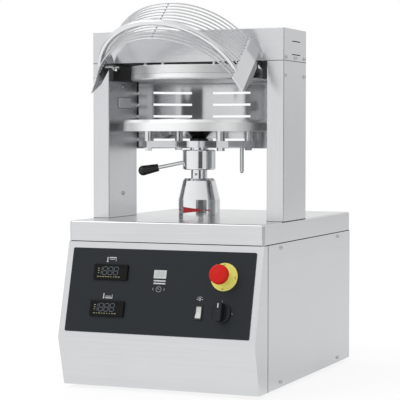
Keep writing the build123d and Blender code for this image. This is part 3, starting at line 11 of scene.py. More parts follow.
import bmesh
import bpy
from mathutils import Matrix, Vector


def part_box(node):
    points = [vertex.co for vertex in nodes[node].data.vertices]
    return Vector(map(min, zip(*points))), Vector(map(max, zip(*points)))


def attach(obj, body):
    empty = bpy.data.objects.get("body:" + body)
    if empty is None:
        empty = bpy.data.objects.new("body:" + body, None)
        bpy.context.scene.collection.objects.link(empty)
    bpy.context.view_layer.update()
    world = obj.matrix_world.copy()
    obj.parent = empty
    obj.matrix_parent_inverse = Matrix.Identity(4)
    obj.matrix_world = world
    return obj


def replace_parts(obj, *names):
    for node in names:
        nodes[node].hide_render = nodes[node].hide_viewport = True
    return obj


MM = 0.001
X, Y, Z = range(3)
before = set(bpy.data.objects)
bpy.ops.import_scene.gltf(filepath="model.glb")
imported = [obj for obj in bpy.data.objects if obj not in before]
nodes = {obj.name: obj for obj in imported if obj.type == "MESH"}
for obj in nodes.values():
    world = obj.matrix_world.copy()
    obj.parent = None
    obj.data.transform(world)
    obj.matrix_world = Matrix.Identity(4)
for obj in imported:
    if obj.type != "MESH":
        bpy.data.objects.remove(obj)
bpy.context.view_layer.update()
scene = bpy.context.scene

# %% [markdown]
# ## The camera
# A catalogue picture of a machine is taken from far away with a long lens, so that upright edges
# stay upright. The lens is shifted a little, as on a view camera, in place of tilting the camera:
# the picture's frame moves, and the machine's lines do not.

# %% Camera
CAMERA_PLACE = (1.3033, -3.2394, 0.5344)
CAMERA_TURN = (87.342, 0.0, 22.780)
CAMERA_LENS = 141.63
CAMERA_SHIFT = (0.0301, 0.0183)
SENSOR_WIDTH = 36.0

camera_data = bpy.data.cameras.new("camera")
camera_data.lens = CAMERA_LENS
camera_data.sensor_width = SENSOR_WIDTH
camera_data.shift_x, camera_data.shift_y = CAMERA_SHIFT
camera = bpy.data.objects.new("camera", camera_data)
camera.location = CAMERA_PLACE
camera.rotation_euler = [math.radians(angle) for angle in CAMERA_TURN]
scene.collection.objects.link(camera)
scene.camera = camera
scene.view_settings.view_transform = "Standard"
print("camera:", CAMERA_LENS, "mm lens at", CAMERA_PLACE)

# %% [markdown]
# ## A small language for nodes
# A material is a sheet of nodes, and so is a Geometry Nodes recipe. Written one node at a time both
# are long and hard to read, so two small classes do the wiring. `Value` wraps a number's socket, so
# that `1 - mask` in Python adds a Math node that does just that. `Sheet.node` makes any node: it
# takes the node's type, then its settings, then the values or links of its sockets.

# %% Values
def both_ways(operation):
    """An operator and its reflected form, as in value - 1 and 1 - value."""
    def plain(self, other):
        return self.math(operation, self, other)

    def reflected(self, other):
        return self.math(operation, other, self)

    return plain, reflected


class Value:
    """A number on a socket. Arithmetic with it adds Math nodes to its sheet."""

    def __init__(self, sheet, socket):
        self.sheet = sheet
        self.socket = socket

    def math(self, operation, *terms):
        node = self.sheet.node("ShaderNodeMath", {"operation": operation}, dict(enumerate(terms)))
        return Value(self.sheet, node.outputs[0])

    __add__, __radd__ = both_ways("ADD")
    __sub__, __rsub__ = both_ways("SUBTRACT")
    __mul__, __rmul__ = both_ways("MULTIPLY")
    __truediv__, __rtruediv__ = both_ways("DIVIDE")
    __mod__, __rmod__ = both_ways("FLOORED_MODULO")

    def __abs__(self):
        return self.math("ABSOLUTE", self)

    def sine(self):
        return self.math("SINE", self)

    def cosine(self):
        return self.math("COSINE", self)

    def limit(self):
        node = self.sheet.node("ShaderNodeClamp", {}, {"Value": self})
        return Value(self.sheet, node.outputs[0])


print("Value: a socket with arithmetic")

# %% Sheets
class Sheet:
    """A node tree, and the one method that makes its nodes."""

    def __init__(self, tree):
        self.tree = tree
        tree.nodes.clear()

    def node(self, kind, settings=None, sockets=None):
        node = self.tree.nodes.new(kind)
        for name, value in (settings or {}).items():
            setattr(node, name, value)
        for name, value in (sockets or {}).items():
            several = value if isinstance(value, list) else [value]
            for item in several:
                item = item.socket if isinstance(item, Value) else item
                if isinstance(item, bpy.types.NodeSocket):
                    self.tree.links.new(item, node.inputs[name])
                else:
                    node.inputs[name].default_value = item
        return node

    def vector(self, x, y, z):
        return self.node("ShaderNodeCombineXYZ", {}, {0: x, 1: y, 2: z}).outputs[0]

    def parts(self, vector):
        node = self.node("ShaderNodeSeparateXYZ", {}, {"Vector": vector})
        return [Value(self, socket) for socket in node.outputs]


print("Sheet: a node tree with one way to make nodes")

# %% [markdown]
# ## A finish
# Every surface uses the same physically based shader. A value that is the same all over is set on
# the shader's own socket. What changes over the surface comes from noise, rings or waves on the
# object's own coordinates, which are metres here, so a noise of 900 means nine hundred grains in a
# metre whatever the piece.

# %% Finishes
MIX_FACTOR, MIX_DARK, MIX_LIGHT = 0, 6, 7   # a Mix node has these inputs for colours
MIX_COLOUR = 2
COOLING = 1.6   # what blue gains for each part that red loses


class Finish(Sheet):
    """A material: one Principled shader and the patterns that feed it."""

    def __init__(self, name, **constants):
        self.material = bpy.data.materials.new(name)
        self.material.use_nodes = True
        super().__init__(self.material.node_tree)
        self.shader = self.node("ShaderNodeBsdfPrincipled")
        for label, value in constants.items():
            self.shader.inputs[label.replace("_", " ")].default_value = value
        output = self.node("ShaderNodeOutputMaterial", {}, {"Surface": self.shader.outputs[0]})
        self.surface = output.inputs["Surface"]

    def place(self, stretch=(1, 1, 1), centre=(0, 0, 0)):
        """The object's coordinates, stretched about a centre."""
        coordinates = self.node("ShaderNodeTexCoord").outputs["Object"]
        shift = tuple(-c * s for c, s in zip(centre, stretch))
        sockets = {"Vector": coordinates, "Location": shift, "Scale": tuple(stretch)}
        return self.node("ShaderNodeMapping", {"vector_type": "POINT"}, sockets).outputs[0]

    def noise(self, grains, detail=2.0, roughness=0.5):
        """Noise with so many grains in a metre, alike or along each axis."""
        stretch = grains if isinstance(grains, (list, tuple)) else (grains,) * 3
        sockets = {"Scale": 1.0, "Detail": detail, "Roughness": roughness}
        sockets["Vector"] = self.place(stretch)
        return Value(self, self.node("ShaderNodeTexNoise", {}, sockets).outputs[0])

    def length(self, vector):
        node = self.node("ShaderNodeVectorMath", {"operation": "LENGTH"}, {0: vector})
        return Value(self, node.outputs["Value"])

    def feed(self, label, value):
        socket = value.socket if isinstance(value, Value) else value
        self.tree.links.new(socket, self.shader.inputs[label])

    def tone(self, tint, dark, light):
        """The colour lies between a dark and a light one, as a pattern says."""
        sockets = {MIX_FACTOR: tint, MIX_DARK: (*dark, 1.0), MIX_LIGHT: (*light, 1.0)}
        mixed = self.node("ShaderNodeMix", {"data_type": "RGBA"}, sockets)
        self.feed("Base Color", mixed.outputs[MIX_COLOUR])

    def emboss(self, height, strength, depth):
        sockets = {"Height": height, "Strength": strength, "Distance": depth}
        self.feed("Normal", self.node("ShaderNodeBump", {}, sockets).outputs[0])


def grey(level, tint=0.0):
    """A neutral colour, a little cooler as the tint grows."""
    return (level * (1 - tint), level, level * (1 + COOLING * tint))


def greys(level, spread, tint):
    """A dark and a light grey on both sides of a level."""
    return grey(level - spread, tint), grey(level + spread, tint)


def shaded(colour, share):
    """A darker colour of the same hue."""
    return tuple(channel * share for channel in colour)


print("Finish: one shader and its patterns")

# %% [markdown]
# ## Brushed stainless sheet
# The casing, the columns and the head are stainless sheet with a fine ground finish. A belt drags
# long hairlines along the sheet, so the pattern is a noise stretched a few hundred times in one
# direction. It tints the steel by up to a tenth, scatters the gloss and leaves a trace of relief.
# Slow clouds stand for handling marks. The hairlines follow each sheet's length.

# %% Brushed steel
HAIR_ACROSS = 900.0
HAIR_ALONG = 5.0
BAND_SHARE = 0.12       # bands are that much coarser than hairlines
HANDLING = 7.0
BRUSHED_TONE = 0.62
BRUSHED_GLOSS = 0.15
STEEL_COOL = 0.012


def brushed_steel(name, along):
    steel = Finish(name, Metallic=1.0)
    stretch = [HAIR_ACROSS] * 3
    stretch[along] = HAIR_ALONG
    hairlines = steel.noise(stretch, detail=3.0, roughness=0.6)
    bands = steel.noise([axis * BAND_SHARE for axis in stretch])
    clouds = steel.noise(HANDLING, detail=3.0)
    tint = 0.60 * hairlines + 0.10 * bands + 0.30 * clouds
    steel.tone(tint, *greys(BRUSHED_TONE, spread=0.10, tint=STEEL_COOL))
    steel.feed("Roughness", BRUSHED_GLOSS + 0.12 * hairlines + 0.06 * clouds)
    steel.emboss(hairlines, strength=0.10, depth=0.2 * MM)
    return steel.material


upright_steel = brushed_steel("brushed_steel_upright", along=Z)
level_steel = brushed_steel("brushed_steel_level", along=X)
side_steel = brushed_steel("brushed_steel_sides", along=Y)
print("brushed:", [steel.name for steel in (upright_steel, level_steel, side_steel)])

# %% [markdown]
# ## Polished and drawn metal
# The cone, the collar and the ram are turned and polished: at this distance they are mirrors with
# hair-fine rings. The rings come from a wave along the height, because a lathe's tool leaves them
# so. The rear shield, the guard's cheeks and wires are bright rolled stock, with faint ripples that
# break up what they reflect.

# %% Polished steel
CHATTER = (30, 30, 400)
CHATTER_SWAY = 4.0
SMEARS = (22, 22, 9)
ROLL_GRAIN = (420, 420, 14)
ROLL_WAVES = (16, 16, 7)


def turned_steel(name, tone, gloss, rings):
    steel = Finish(name, Metallic=1.0)
    height = steel.parts(steel.place())[Z]
    sway = CHATTER_SWAY * steel.noise(CHATTER)
    grooves = 0.5 + 0.5 * (height * rings + sway).sine()
    smears = steel.noise(SMEARS, detail=3.0)
    steel.tone(0.35 * grooves + 0.65 * smears, *greys(tone, spread=0.06, tint=0.01))
    steel.feed("Roughness", gloss + 0.05 * grooves + 0.06 * smears)
    steel.emboss(grooves, strength=0.03, depth=0.1 * MM)
    return steel.material


def rolled_steel(name, tone, gloss, ripple):
    steel = Finish(name, Metallic=1.0)
    grain = steel.noise(ROLL_GRAIN)
    waves = steel.noise(ROLL_WAVES, detail=1.0)
    dark, light = grey(tone - 0.06, STEEL_COOL), grey(tone + 0.05, STEEL_COOL)
    steel.tone(0.5 * grain + 0.5 * waves, dark, light)
    steel.feed("Roughness", gloss + 0.07 * grain)
    steel.emboss(0.9 * waves + 0.1 * grain, strength=ripple, depth=4.0 * MM)
    return steel.material


polished_steel = turned_steel("turned_steel_polished", tone=0.74, gloss=0.04, rings=2600.0)
shaft_steel = turned_steel("turned_steel_shafts", tone=0.70, gloss=0.10, rings=4200.0)
shield_steel = rolled_steel("rolled_steel_shield", tone=0.58, gloss=0.07, ripple=0.10)
guard_steel = rolled_steel("rolled_steel_guard", tone=0.72, gloss=0.08, ripple=0.03)
wire_steel = rolled_steel("drawn_steel_wires", tone=0.60, gloss=0.12, ripple=0.03)
bright = [polished_steel, shaft_steel, shield_steel, guard_steel, wire_steel]
print("polished:", [steel.name for steel in bright])

# %% [markdown]
# ## Plates of aluminium
# Both plates are faced on a lathe, which leaves rings round their middle on the flat faces.
# Distance from the ram's axis gives the rings; the Mapping node moves the pattern's centre onto
# that axis. The plates are heated for years, and slow blotches in tone and gloss stand for that.

# %% Faced aluminium
FACING_RINGS = 5200.0
HEAT_BLOTCHES = 18.0
plate_low, plate_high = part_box("lower_platen")
RAM_AXIS = ((plate_low.x + plate_high.x) / 2, (plate_low.y + plate_high.y) / 2, 0.0)


def faced_aluminium(name, tone, gloss):
    metal = Finish(name, Metallic=1.0)
    across = metal.length(metal.place((1, 1, 0), RAM_AXIS))
    grooves = 0.5 + 0.5 * (across * FACING_RINGS).sine()
    blotches = metal.noise(HEAT_BLOTCHES, detail=4.0)
    metal.tone(0.35 * grooves + 0.65 * blotches, *greys(tone, spread=0.07, tint=0.004))
    metal.feed("Roughness", gloss + 0.08 * grooves + 0.08 * blotches)
    metal.emboss(grooves, strength=0.05, depth=0.1 * MM)
    return metal.material


plate_aluminium = faced_aluminium("faced_aluminium", tone=0.91, gloss=0.30)
cover_aluminium = faced_aluminium("satin_aluminium_cover", tone=0.80, gloss=0.34)
print("plates centred on", [round(c, 4) for c in RAM_AXIS[:2]])

# %% [markdown]
# ## Moulded plastics
# Knobs, bezels and buttons are moulded in tools that are spark-eroded to a fine grain. The grain is
# a fine noise in the relief, with the gloss varied a little where hands rub it. The stop button's
# red and its disc's yellow are the standard signal colours.

# %% Plastics
RUBBED = 35.0
RUBBER_PITS = 900.0


def moulded(name, colour, gloss=0.38, grain=0.08, pits=1500.0, shade=0.82, shine=0.40):
    plastic = Finish(name, IOR=1.5, Specular_IOR_Level=shine)
    skin = plastic.noise(pits, detail=1.0)
    rub = plastic.noise(RUBBED, detail=3.0)
    plastic.tone(0.3 * skin + 0.7 * rub, shaded(colour, shade), colour)
    plastic.feed("Roughness", gloss - 0.08 + 0.10 * skin + 0.10 * rub)
    plastic.emboss(skin, strength=grain, depth=0.3 * MM)
    return plastic.material


black_plastic = moulded("black_plastic", (0.009, 0.012, 0.015), gloss=0.34, shine=0.30)
controller_black = moulded("controller_black", grey(0.006), gloss=0.24, grain=0.02, shine=0.14)
glossy_black = moulded("phenolic_black", (0.008, 0.008, 0.009), gloss=0.16, grain=0.02)
hinge_black = moulded("acetal_black", (0.010, 0.010, 0.011), gloss=0.42)
red_plastic = moulded(
    "signal_red", (0.70, 0.012, 0.006), gloss=0.40, grain=0.05, shade=0.90, shine=0.22,
)
yellow_plastic = moulded(
    "signal_yellow", (0.90, 0.85, 0.22), gloss=0.40, grain=0.04, shade=0.95, shine=0.25,
)
white_plastic = moulded("rocker_white", (0.74, 0.77, 0.74), gloss=0.34, grain=0.03, shade=0.93)
rubber = moulded("foot_rubber", grey(0.020), gloss=0.72, grain=0.20, pits=RUBBER_PITS)
print("plastics: four blacks, red, yellow, white and rubber")

# %% [markdown]
# ## The control foil and its displays
# The sloped front carries a printed foil: dark slate, very slightly textured against fingerprints.
# Behind windows in it sit two temperature controllers with dark displays, and a pale liquid-crystal
# timer.

# %% Foil and displays
FOIL_DARK = (0.0070, 0.0108, 0.0145)
FOIL_LIGHT = (0.0115, 0.0162, 0.0205)
FOIL_GLOSS = 0.34
FOIL_TEXTURE = 2200.0
FOIL_HAZE = 9.0
DISPLAY_CELLS = 700.0
DISPLAY_DEPTH = 40.0


def control_foil():
    foil = Finish("control_foil", IOR=1.46, Specular_IOR_Level=0.34)
    texture = foil.noise(FOIL_TEXTURE, detail=1.0)
    haze = foil.noise(FOIL_HAZE, detail=3.0)
    foil.tone(0.35 * texture + 0.65 * haze, FOIL_DARK, FOIL_LIGHT)
    foil.feed("Roughness", FOIL_GLOSS + 0.08 * texture + 0.08 * haze)
    foil.emboss(texture, strength=0.10, depth=0.2 * MM)
    return foil.material


def display_glass(name, colour, gloss):
    glass = Finish(name, IOR=1.5)
    cells = glass.noise(DISPLAY_CELLS, detail=1.0)
    depth = glass.noise(DISPLAY_DEPTH)
    glass.tone(0.4 * cells + 0.6 * depth, shaded(colour, share=0.88), colour)
    glass.feed("Roughness", gloss + 0.05 * depth)
    glass.emboss(depth, strength=0.02, depth=1.0 * MM)
    return glass.material


foil = control_foil()
pale_display = display_glass("timer_display", (0.66, 0.72, 0.68), gloss=0.18)
lamp_lens = display_glass("lamp_lens", (0.80, 0.82, 0.84), gloss=0.30)
print("foil:", foil.name, "and glass:", pale_display.name, lamp_lens.name)

# %% [markdown]
# ## Inside the base
# Nothing inside shows unless a panel comes off, but it is finished too: grey powder paint with its
# orange-peel skin, oiled gear steel, bronze and the heaters' browned sheath.

# %% Inner finishes
PAINT_DARK = (0.15, 0.155, 0.16)
PAINT_LIGHT = (0.21, 0.215, 0.22)
PAINT_GLOSS = 0.40
PAINT_PEEL = 520.0
PAINT_DUST = 12.0
OIL_STAINS = 60.0
METAL_GRAIN = 900.0


def powder_paint():
    paint = Finish("grey_powder_paint", IOR=1.5)
    peel = paint.noise(PAINT_PEEL, detail=1.0)
    dust = paint.noise(PAINT_DUST, detail=4.0)
    paint.tone(dust, PAINT_DARK, PAINT_LIGHT)
    paint.feed("Roughness", PAINT_GLOSS + 0.14 * dust)
    paint.emboss(peel, strength=0.20, depth=0.6 * MM)
    return paint.material


def oiled_metal(name, dark, light, gloss):
    metal = Finish(name, Metallic=1.0)
    stain = metal.noise(OIL_STAINS, detail=4.0)
    fine = metal.noise(METAL_GRAIN, detail=1.0)
    metal.tone(0.7 * stain + 0.3 * fine, dark, light)
    metal.feed("Roughness", gloss + 0.15 * stain)
    metal.emboss(fine, strength=0.08, depth=0.2 * MM)
    return metal.material


paint = powder_paint()
gear_steel = oiled_metal("gear_steel", grey(0.24), grey(0.36), gloss=0.24)
bronze = oiled_metal("bearing_bronze", (0.40, 0.24, 0.10), (0.56, 0.36, 0.17), gloss=0.26)
heater_sheath = oiled_metal("heater_sheath", (0.14, 0.11, 0.09), (0.26, 0.22, 0.19), gloss=0.38)
zinc = oiled_metal("zinc_plated_steel", grey(0.46, 0.02), grey(0.60, 0.02), gloss=0.26)
print("inside:", [metal.name for metal in (paint, gear_steel, bronze, heater_sheath, zinc)])

# %% [markdown]
# ## Handing out the finishes
# A solid that already has the right shape keeps its mesh and only changes its finish. One table
# says which solid takes which.

# %% Finish of each solid
FINISHES = {
    upright_steel: ["left_column", "right_column"],
    level_steel: ["front_panel", "top_lid", "head_cover", "rear_panel", "floor_pan"],
    side_steel: ["left_side_panel", "right_side_panel"],
    polished_steel: ["cone_cover", "thickness_collar", "ram"],
    shaft_steel: [
        "lever_rod", "stop_rod", "platen_studs", "upper_studs", "hinge_pins", "lead_screw",
        "estop_stem",
    ],
    shield_steel: ["rear_shield"],
    guard_steel: ["guard_handle", "guard_cheeks", "platen_spider"],
    wire_steel: ["guard_wires"],
    plate_aluminium: ["lower_platen", "upper_platen"],
    cover_aluminium: ["upper_cover"],
    black_plastic: ["switch_body", "switch_knob", "cable_gland"],
    controller_black: ["upper_controller", "lower_controller"],
    glossy_black: ["lever_knob", "heat_boss"],
    hinge_black: ["hinge_blocks", "rocker_bezel"],
    red_plastic: ["estop_head"],
    yellow_plastic: ["estop_disc", "estop_body"],
    white_plastic: ["light_rocker"],
    rubber: ["rubber_feet"],
    foil: ["control_overlay", "timer_key_left", "timer_key_set", "timer_key_right"],
    pale_display: ["timer_module"],
    lamp_lens: ["work_light"],
    paint: ["main_frame", "head_beam", "gearmotor", "bearing_housing", "control_box"],
    gear_steel: ["drive_gear", "pinion"],
    bronze: ["guide_bush", "ram_nut"],
    heater_sheath: ["upper_heater", "lower_heater"],
    zinc: ["frame_bolts", "cover_screws"],
}
for finish, names in FINISHES.items():
    for name in names:
        nodes[name].data.materials.clear()
        nodes[name].data.materials.append(finish)
dressed = [name for names in FINISHES.values() for name in names]
print("dressed", len(dressed), "solids; left bare:", sorted(set(nodes) - set(dressed)))

# %% [markdown]
# ## Floor
# The machine stands on a seamless white sweep. Rays from the camera should meet plain white, and so
# should rays that come off polished metal or through glass, or the steel would mirror a grey room.
# Light Path tells these rays apart. For them the floor glows almost to white and keeps only the
# machine's own shadow. Mirrored rays find it dimmer at the back, where less light reaches it.

# %% Floor
FLOOR_SIZE = 12.0
FLOOR_MOTTLE = 3.0
FLOOR_TONES = (grey(0.80), grey(0.83))
FLOOR_GLOW = 1.12
FLOOR_SHARE = 0.72
FLOOR_BACK = 0.50   # share behind the machine, for mirrored rays
FLOOR_TURN = -0.05  # there the floor turns dimmer towards the back
FLOOR_FADE = 0.30
BACKDROP_RAYS = ("Is Camera Ray", "Is Glossy Ray", "Is Transmission Ray")


def backdrop_rays(sheet):
    """Rays that show the backdrop: straight from the camera, and off metal or through glass."""
    path = sheet.node("ShaderNodeLightPath")
    direct, mirrored, through = [Value(sheet, path.outputs[ray]) for ray in BACKDROP_RAYS]
    return direct, (mirrored + through).limit()


def floor_finish():
    floor = Finish("studio_floor", Roughness=0.9)
    floor.tone(floor.noise(FLOOR_MOTTLE), *FLOOR_TONES)
    glow = floor.node("ShaderNodeEmission", {}, {"Strength": FLOOR_GLOW})
    direct, mirrored = backdrop_rays(floor)
    to_back = floor.parts(floor.place())[Y]
    front = ((FLOOR_TURN - to_back) / FLOOR_FADE).limit()
    share = (FLOOR_SHARE * direct + mirrored * (FLOOR_BACK + (1 - FLOOR_BACK) * front)).limit()
    sockets = {0: share, 1: floor.shader.outputs[0], 2: glow.outputs[0]}
    blend = floor.node("ShaderNodeMixShader", {}, sockets)
    floor.tree.links.new(blend.outputs[0], floor.surface)
    return floor.material


def stage_sheet(name, corners, finish):
    mesh = bpy.data.meshes.new(name)
    mesh.from_pydata(corners, [], [(0, 1, 2, 3)])
    mesh.materials.append(finish)
    sheet = bpy.data.objects.new(name, mesh)
    scene.collection.objects.link(sheet)
    return sheet


half = FLOOR_SIZE / 2
floor_corners = [(-half, -half, 0), (half, -half, 0), (half, half, 0), (-half, half, 0)]
stage_sheet("studio_floor", floor_corners, floor_finish())
print("floor", FLOOR_SIZE, "m across")

# %% [markdown]
# ## Sky
# The light that falls on the machine comes from a soft sky, brighter above. Mirrored rays find the
# room a little dimmer at the back, with a grey skirting along the horizon, and a low dark flag far
# out on each side, where a studio ends: that is what draws the dark edges of a polished tube.

# %% Sky
WHITE = (1.0, 1.0, 1.0, 1.0)
SOFT_LEVEL = 0.74
SOFT_RIGHT = 0.10   # the soft sky falls off to the right and the back
SOFT_BACK = 0.06
SOFT_TOP = 0.10
ROOM_LEVEL = 0.96   # the room that mirrored rays find
ROOM_RIGHT = 0.14
ROOM_BACK = 0.06
FLAG_START = 0.80   # share of a direction that points sideways
FLAG_FRONT = -0.34  # nothing dark stands further forward
FLAG_EDGE = 0.14
FLAG_DEPTH = 0.76
FLAG_TOP = 0.17     # rise of a direction that passes over it
FLAG_FADE = 0.10
SKIRTING_DEPTH = 0.15
SKIRTING_TOP = 0.045

world = bpy.data.worlds.new("studio")
world.use_nodes = True
scene.world = world
sky = Sheet(world.node_tree)
to_right, to_back, to_top = sky.parts(sky.node("ShaderNodeTexCoord").outputs["Generated"])
soft = SOFT_LEVEL - SOFT_RIGHT * to_right - SOFT_BACK * to_back + SOFT_TOP * to_top
sides = ((abs(to_right) - FLAG_START) / FLAG_EDGE).limit()
behind = ((to_back - FLAG_FRONT) / FLAG_EDGE).limit()
below = ((FLAG_TOP - to_top) / FLAG_FADE).limit()
flags = FLAG_DEPTH * sides * behind * below
skirting = SKIRTING_DEPTH * to_back.limit() * ((SKIRTING_TOP - to_top) / SKIRTING_TOP).limit()
room = ROOM_LEVEL - ROOM_RIGHT * to_right - ROOM_BACK * to_back - flags - skirting
direct, mirrored = backdrop_rays(sky)
level = direct + mirrored * room + (1 - direct - mirrored) * soft
backdrop = sky.node("ShaderNodeBackground", {}, {"Color": WHITE, "Strength": level})
sky.node("ShaderNodeOutputWorld", {}, {"Surface": backdrop.outputs[0]})
print("sky of", len(sky.tree.nodes), "nodes")

# %% [markdown]
# ## Softbox and black cards
# One wide softbox stands high on the left, so knobs and buttons throw a soft shadow to the right.
# White all round makes polished metal look like chalk. Photographers therefore set black cards
# round the camera: a cylinder then shows a dark stripe, and the eye reads it as a mirror. A tall
# card marks the collar, a low and wide one the cone's foot. Mirrored rays alone see them, so they
# neither shade the floor nor stand in another view. Each is two turns from the camera's line and a
# height.

# %% Softbox and cards
SOFTBOX_SIZE = (2.4, 1.6)
SOFTBOX_PLACE = Vector((-1.5, -1.7, 3.0))
SOFTBOX_AIM = Vector((0.0, -0.1, 0.4))
SOFTBOX_LEVEL = 1.5     # times the backdrop's white
AHEAD = -90.0           # the machine's front, as a turn in degrees
CARD_FAR = 4.0
CARD_TONE = (0.13, 0.13, 0.13, 1.0)
CARDS = {"black_card": (-6.0, 22.0, 0.95), "low_card": (-18.0, 40.0, 0.27)}

softbox = bpy.data.lights.new("softbox", "AREA")
softbox.shape = "RECTANGLE"
softbox.size, softbox.size_y = SOFTBOX_SIZE
softbox.energy = SOFTBOX_LEVEL * math.pi * SOFTBOX_SIZE[0] * SOFTBOX_SIZE[1]
softbox_stand = bpy.data.objects.new("softbox", softbox)
softbox_stand.location = SOFTBOX_PLACE
softbox_stand.rotation_euler = (SOFTBOX_AIM - SOFTBOX_PLACE).to_track_quat("-Z", "Y").to_euler()
scene.collection.objects.link(softbox_stand)


def card_foot(turn):
    """A point on the floor, turned to the right from the camera's direction."""
    angle = math.radians(AHEAD + CAMERA_TURN[Z] + turn)
    return Vector((CARD_FAR * math.cos(angle), CARD_FAR * math.sin(angle), 0.0))


card_black = Finish("card_black", Base_Color=CARD_TONE, Roughness=0.9).material
for name, (start, end, tall) in CARDS.items():
    left_foot, right_foot, rise = card_foot(start), card_foot(end), Vector((0, 0, tall))
    card_corners = [left_foot, right_foot, right_foot + rise, left_foot + rise]
    card = stage_sheet(name, card_corners, card_black)
    card.visible_camera = card.visible_diffuse = card.visible_shadow = False
print("softbox of", round(softbox.energy, 1), "W and", len(CARDS), "cards")

# %% [markdown]
# ## The panel as a drawing board
# Symbols are drawn flat, in millimetres, and then laid on the sloped panel. The panel's slope is
# read from the foil itself: its highest and its foremost points lie on the outer face. A matrix
# made of the three directions right, up and out carries a drawing onto the machine.

# %% Drawing board
foil_points = [vertex.co for vertex in nodes["control_overlay"].data.vertices]
top_edge = max(foil_points, key=lambda point: point.z)
low_edge = min(foil_points, key=lambda point: point.y)
right = Vector((1, 0, 0))
up = Vector((0, top_edge.y - low_edge.y, top_edge.z - low_edge.z)).normalized()
out = right.cross(up)
slope = Matrix((right, up, out)).transposed().to_4x4()
panel = Matrix.Translation((0, top_edge.y, top_edge.z)) @ slope


def panel_spot(name, sink=0.0):
    """The middle of a solid's front on the panel: right, up, and how far it stands out."""
    flat = [panel.inverted() @ vertex.co for vertex in nodes[name].data.vertices]
    across, along, proud = zip(*flat)
    middle = [(min(across) + max(across)) / 2, (min(along) + max(along)) / 2]
    return Vector((*middle, max(proud) - sink))


def foil_spot(name):
    """The foil's face under the middle of a solid."""
    return Vector((*panel_spot(name).xy, 0.0))


def board(spot, shift=(0, 0)):
    """A drawing's place on the panel: its middle at a spot, moved by some millimetres."""
    return panel @ Matrix.Translation(spot + Vector((shift[0] * MM, shift[1] * MM, 0)))


lean = math.degrees(math.atan2(up.y, up.z))
print("the panel leans back by", round(lean, 2), "degrees")

# %% [markdown]
# ## Ink
# A silk-screen print is a film of ink a few hundredths of a millimetre thick. Each symbol is built
# as such a film, a closed slab with its own edge, rather than as paint in the foil's material: a
# print stays sharp at any distance, and it moves with whatever carries it.

# %% Flat drawings
DISC_CORNERS = 32
RING_CORNERS = 48
ARC_CORNERS = 8


def on_circle(x, y, radius, turns):
    return [(x + radius * math.cos(turn), y + radius * math.sin(turn)) for turn in turns]


def full_turn(corners):
    return [math.tau * k / corners for k in range(corners)]


class Drawing:
    """Flat shapes in millimetres, each a list of corners turning left."""

    def __init__(self):
        self.shapes = []
        self.rings = []

    def bar(self, x, y, width, height):
        w, h = width / 2, height / 2
        self.shapes.append([(x - w, y - h), (x + w, y - h), (x + w, y + h), (x - w, y + h)])

    def stroke(self, start, end, width):
        a, b = Vector(start), Vector(end)
        run = (b - a).normalized() * width / 2
        side = Vector((-run.y, run.x))
        self.shapes.append([tuple(corner) for corner in (a - side, b - side, b + side, a + side)])

    def disc(self, x, y, radius):
        self.shapes.append(on_circle(x, y, radius, full_turn(DISC_CORNERS)))

    def arc(self, x, y, radius, width, start, sweep):
        shares = [k / ARC_CORNERS for k in range(ARC_CORNERS + 1)]
        turns = [math.radians(start + sweep * share) for share in shares]
        rim = on_circle(x, y, radius + width / 2, turns)
        bore = on_circle(x, y, radius - width / 2, reversed(turns))
        self.shapes.append(rim + bore)

    def ring(self, x, y, radius, width):
        edges = (radius + width / 2, radius - width / 2)
        self.rings.append([on_circle(x, y, edge, full_turn(RING_CORNERS)) for edge in edges])


print("a drawing has bars, strokes, discs, arcs and rings")

# %% Films of ink
INK_T = 0.06 * MM


def walls(solid, first, second):
    """Faces between two closed rows of corners."""
    for k in range(len(first)):
        j = (k + 1) % len(first)
        solid.faces.new((first[k], first[j], second[j], second[k]))


def mesh_of(solid, name):
    """A bmesh as a plain mesh whose faces look outward."""
    bmesh.ops.recalc_face_normals(solid, faces=solid.faces)
    mesh = bpy.data.meshes.new(name)
    solid.to_mesh(mesh)
    solid.free()
    return mesh


def film_of(drawing, name, place):
    """A drawing as closed slabs, laid on a place."""
    film = bmesh.new()
    for shape in drawing.shapes:
        low, high = [[film.verts.new((x * MM, y * MM, z)) for x, y in shape] for z in (0, INK_T)]
        film.faces.new(high)
        film.faces.new(list(reversed(low)))
        walls(film, low, high)
    for rim, bore in drawing.rings:
        loops = []
        for loop, z in ((rim, 0), (rim, INK_T), (bore, INK_T), (bore, 0)):
            loops.append([film.verts.new((x * MM, y * MM, z)) for x, y in loop])
        for first, second in zip(loops, loops[1:] + loops[:1]):
            walls(film, first, second)
    mesh = mesh_of(film, name)
    mesh.transform(place)
    return mesh


print("a film is", round(INK_T / MM, 2), "mm thick")

# %% Inks
INK_GLOSS = 0.42
SCREEN = 1800.0     # threads of the printing screen in a metre


def keep(name, mesh, body, finish=None):
    """A finished piece: an object at the origin that rides on a body."""
    piece = bpy.data.objects.new(name, mesh)
    scene.collection.objects.link(piece)
    if finish:
        mesh.materials.clear()
        mesh.materials.append(finish)
    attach(piece, body)
    return piece


def stamp(name, drawing, place, finish, body="base"):
    """A drawing printed on a body."""
    return keep(name, film_of(drawing, name, place), body, finish)


def ink(name, colour):
    film = Finish(name, IOR=1.5)
    screen = film.noise(SCREEN, detail=1.0)
    film.tone(screen, shaded(colour, share=0.85), colour)
    film.feed("Roughness", INK_GLOSS + 0.12 * screen)
    return film.material


white_ink = ink("white_ink", (0.72, 0.73, 0.74))
grey_ink = ink("grey_ink", (0.34, 0.35, 0.37))
olive_ink = ink("olive_ink", (0.16, 0.15, 0.04))
red_ink = ink("red_ink", (0.46, 0.004, 0.008))
# The last is painted shade: a black film for the hole in the main switch's knob.
black_ink = ink("black_ink", (0.003, 0.003, 0.003))
print("inks:", [film.name for film in (white_ink, grey_ink, olive_ink, red_ink, black_ink)])

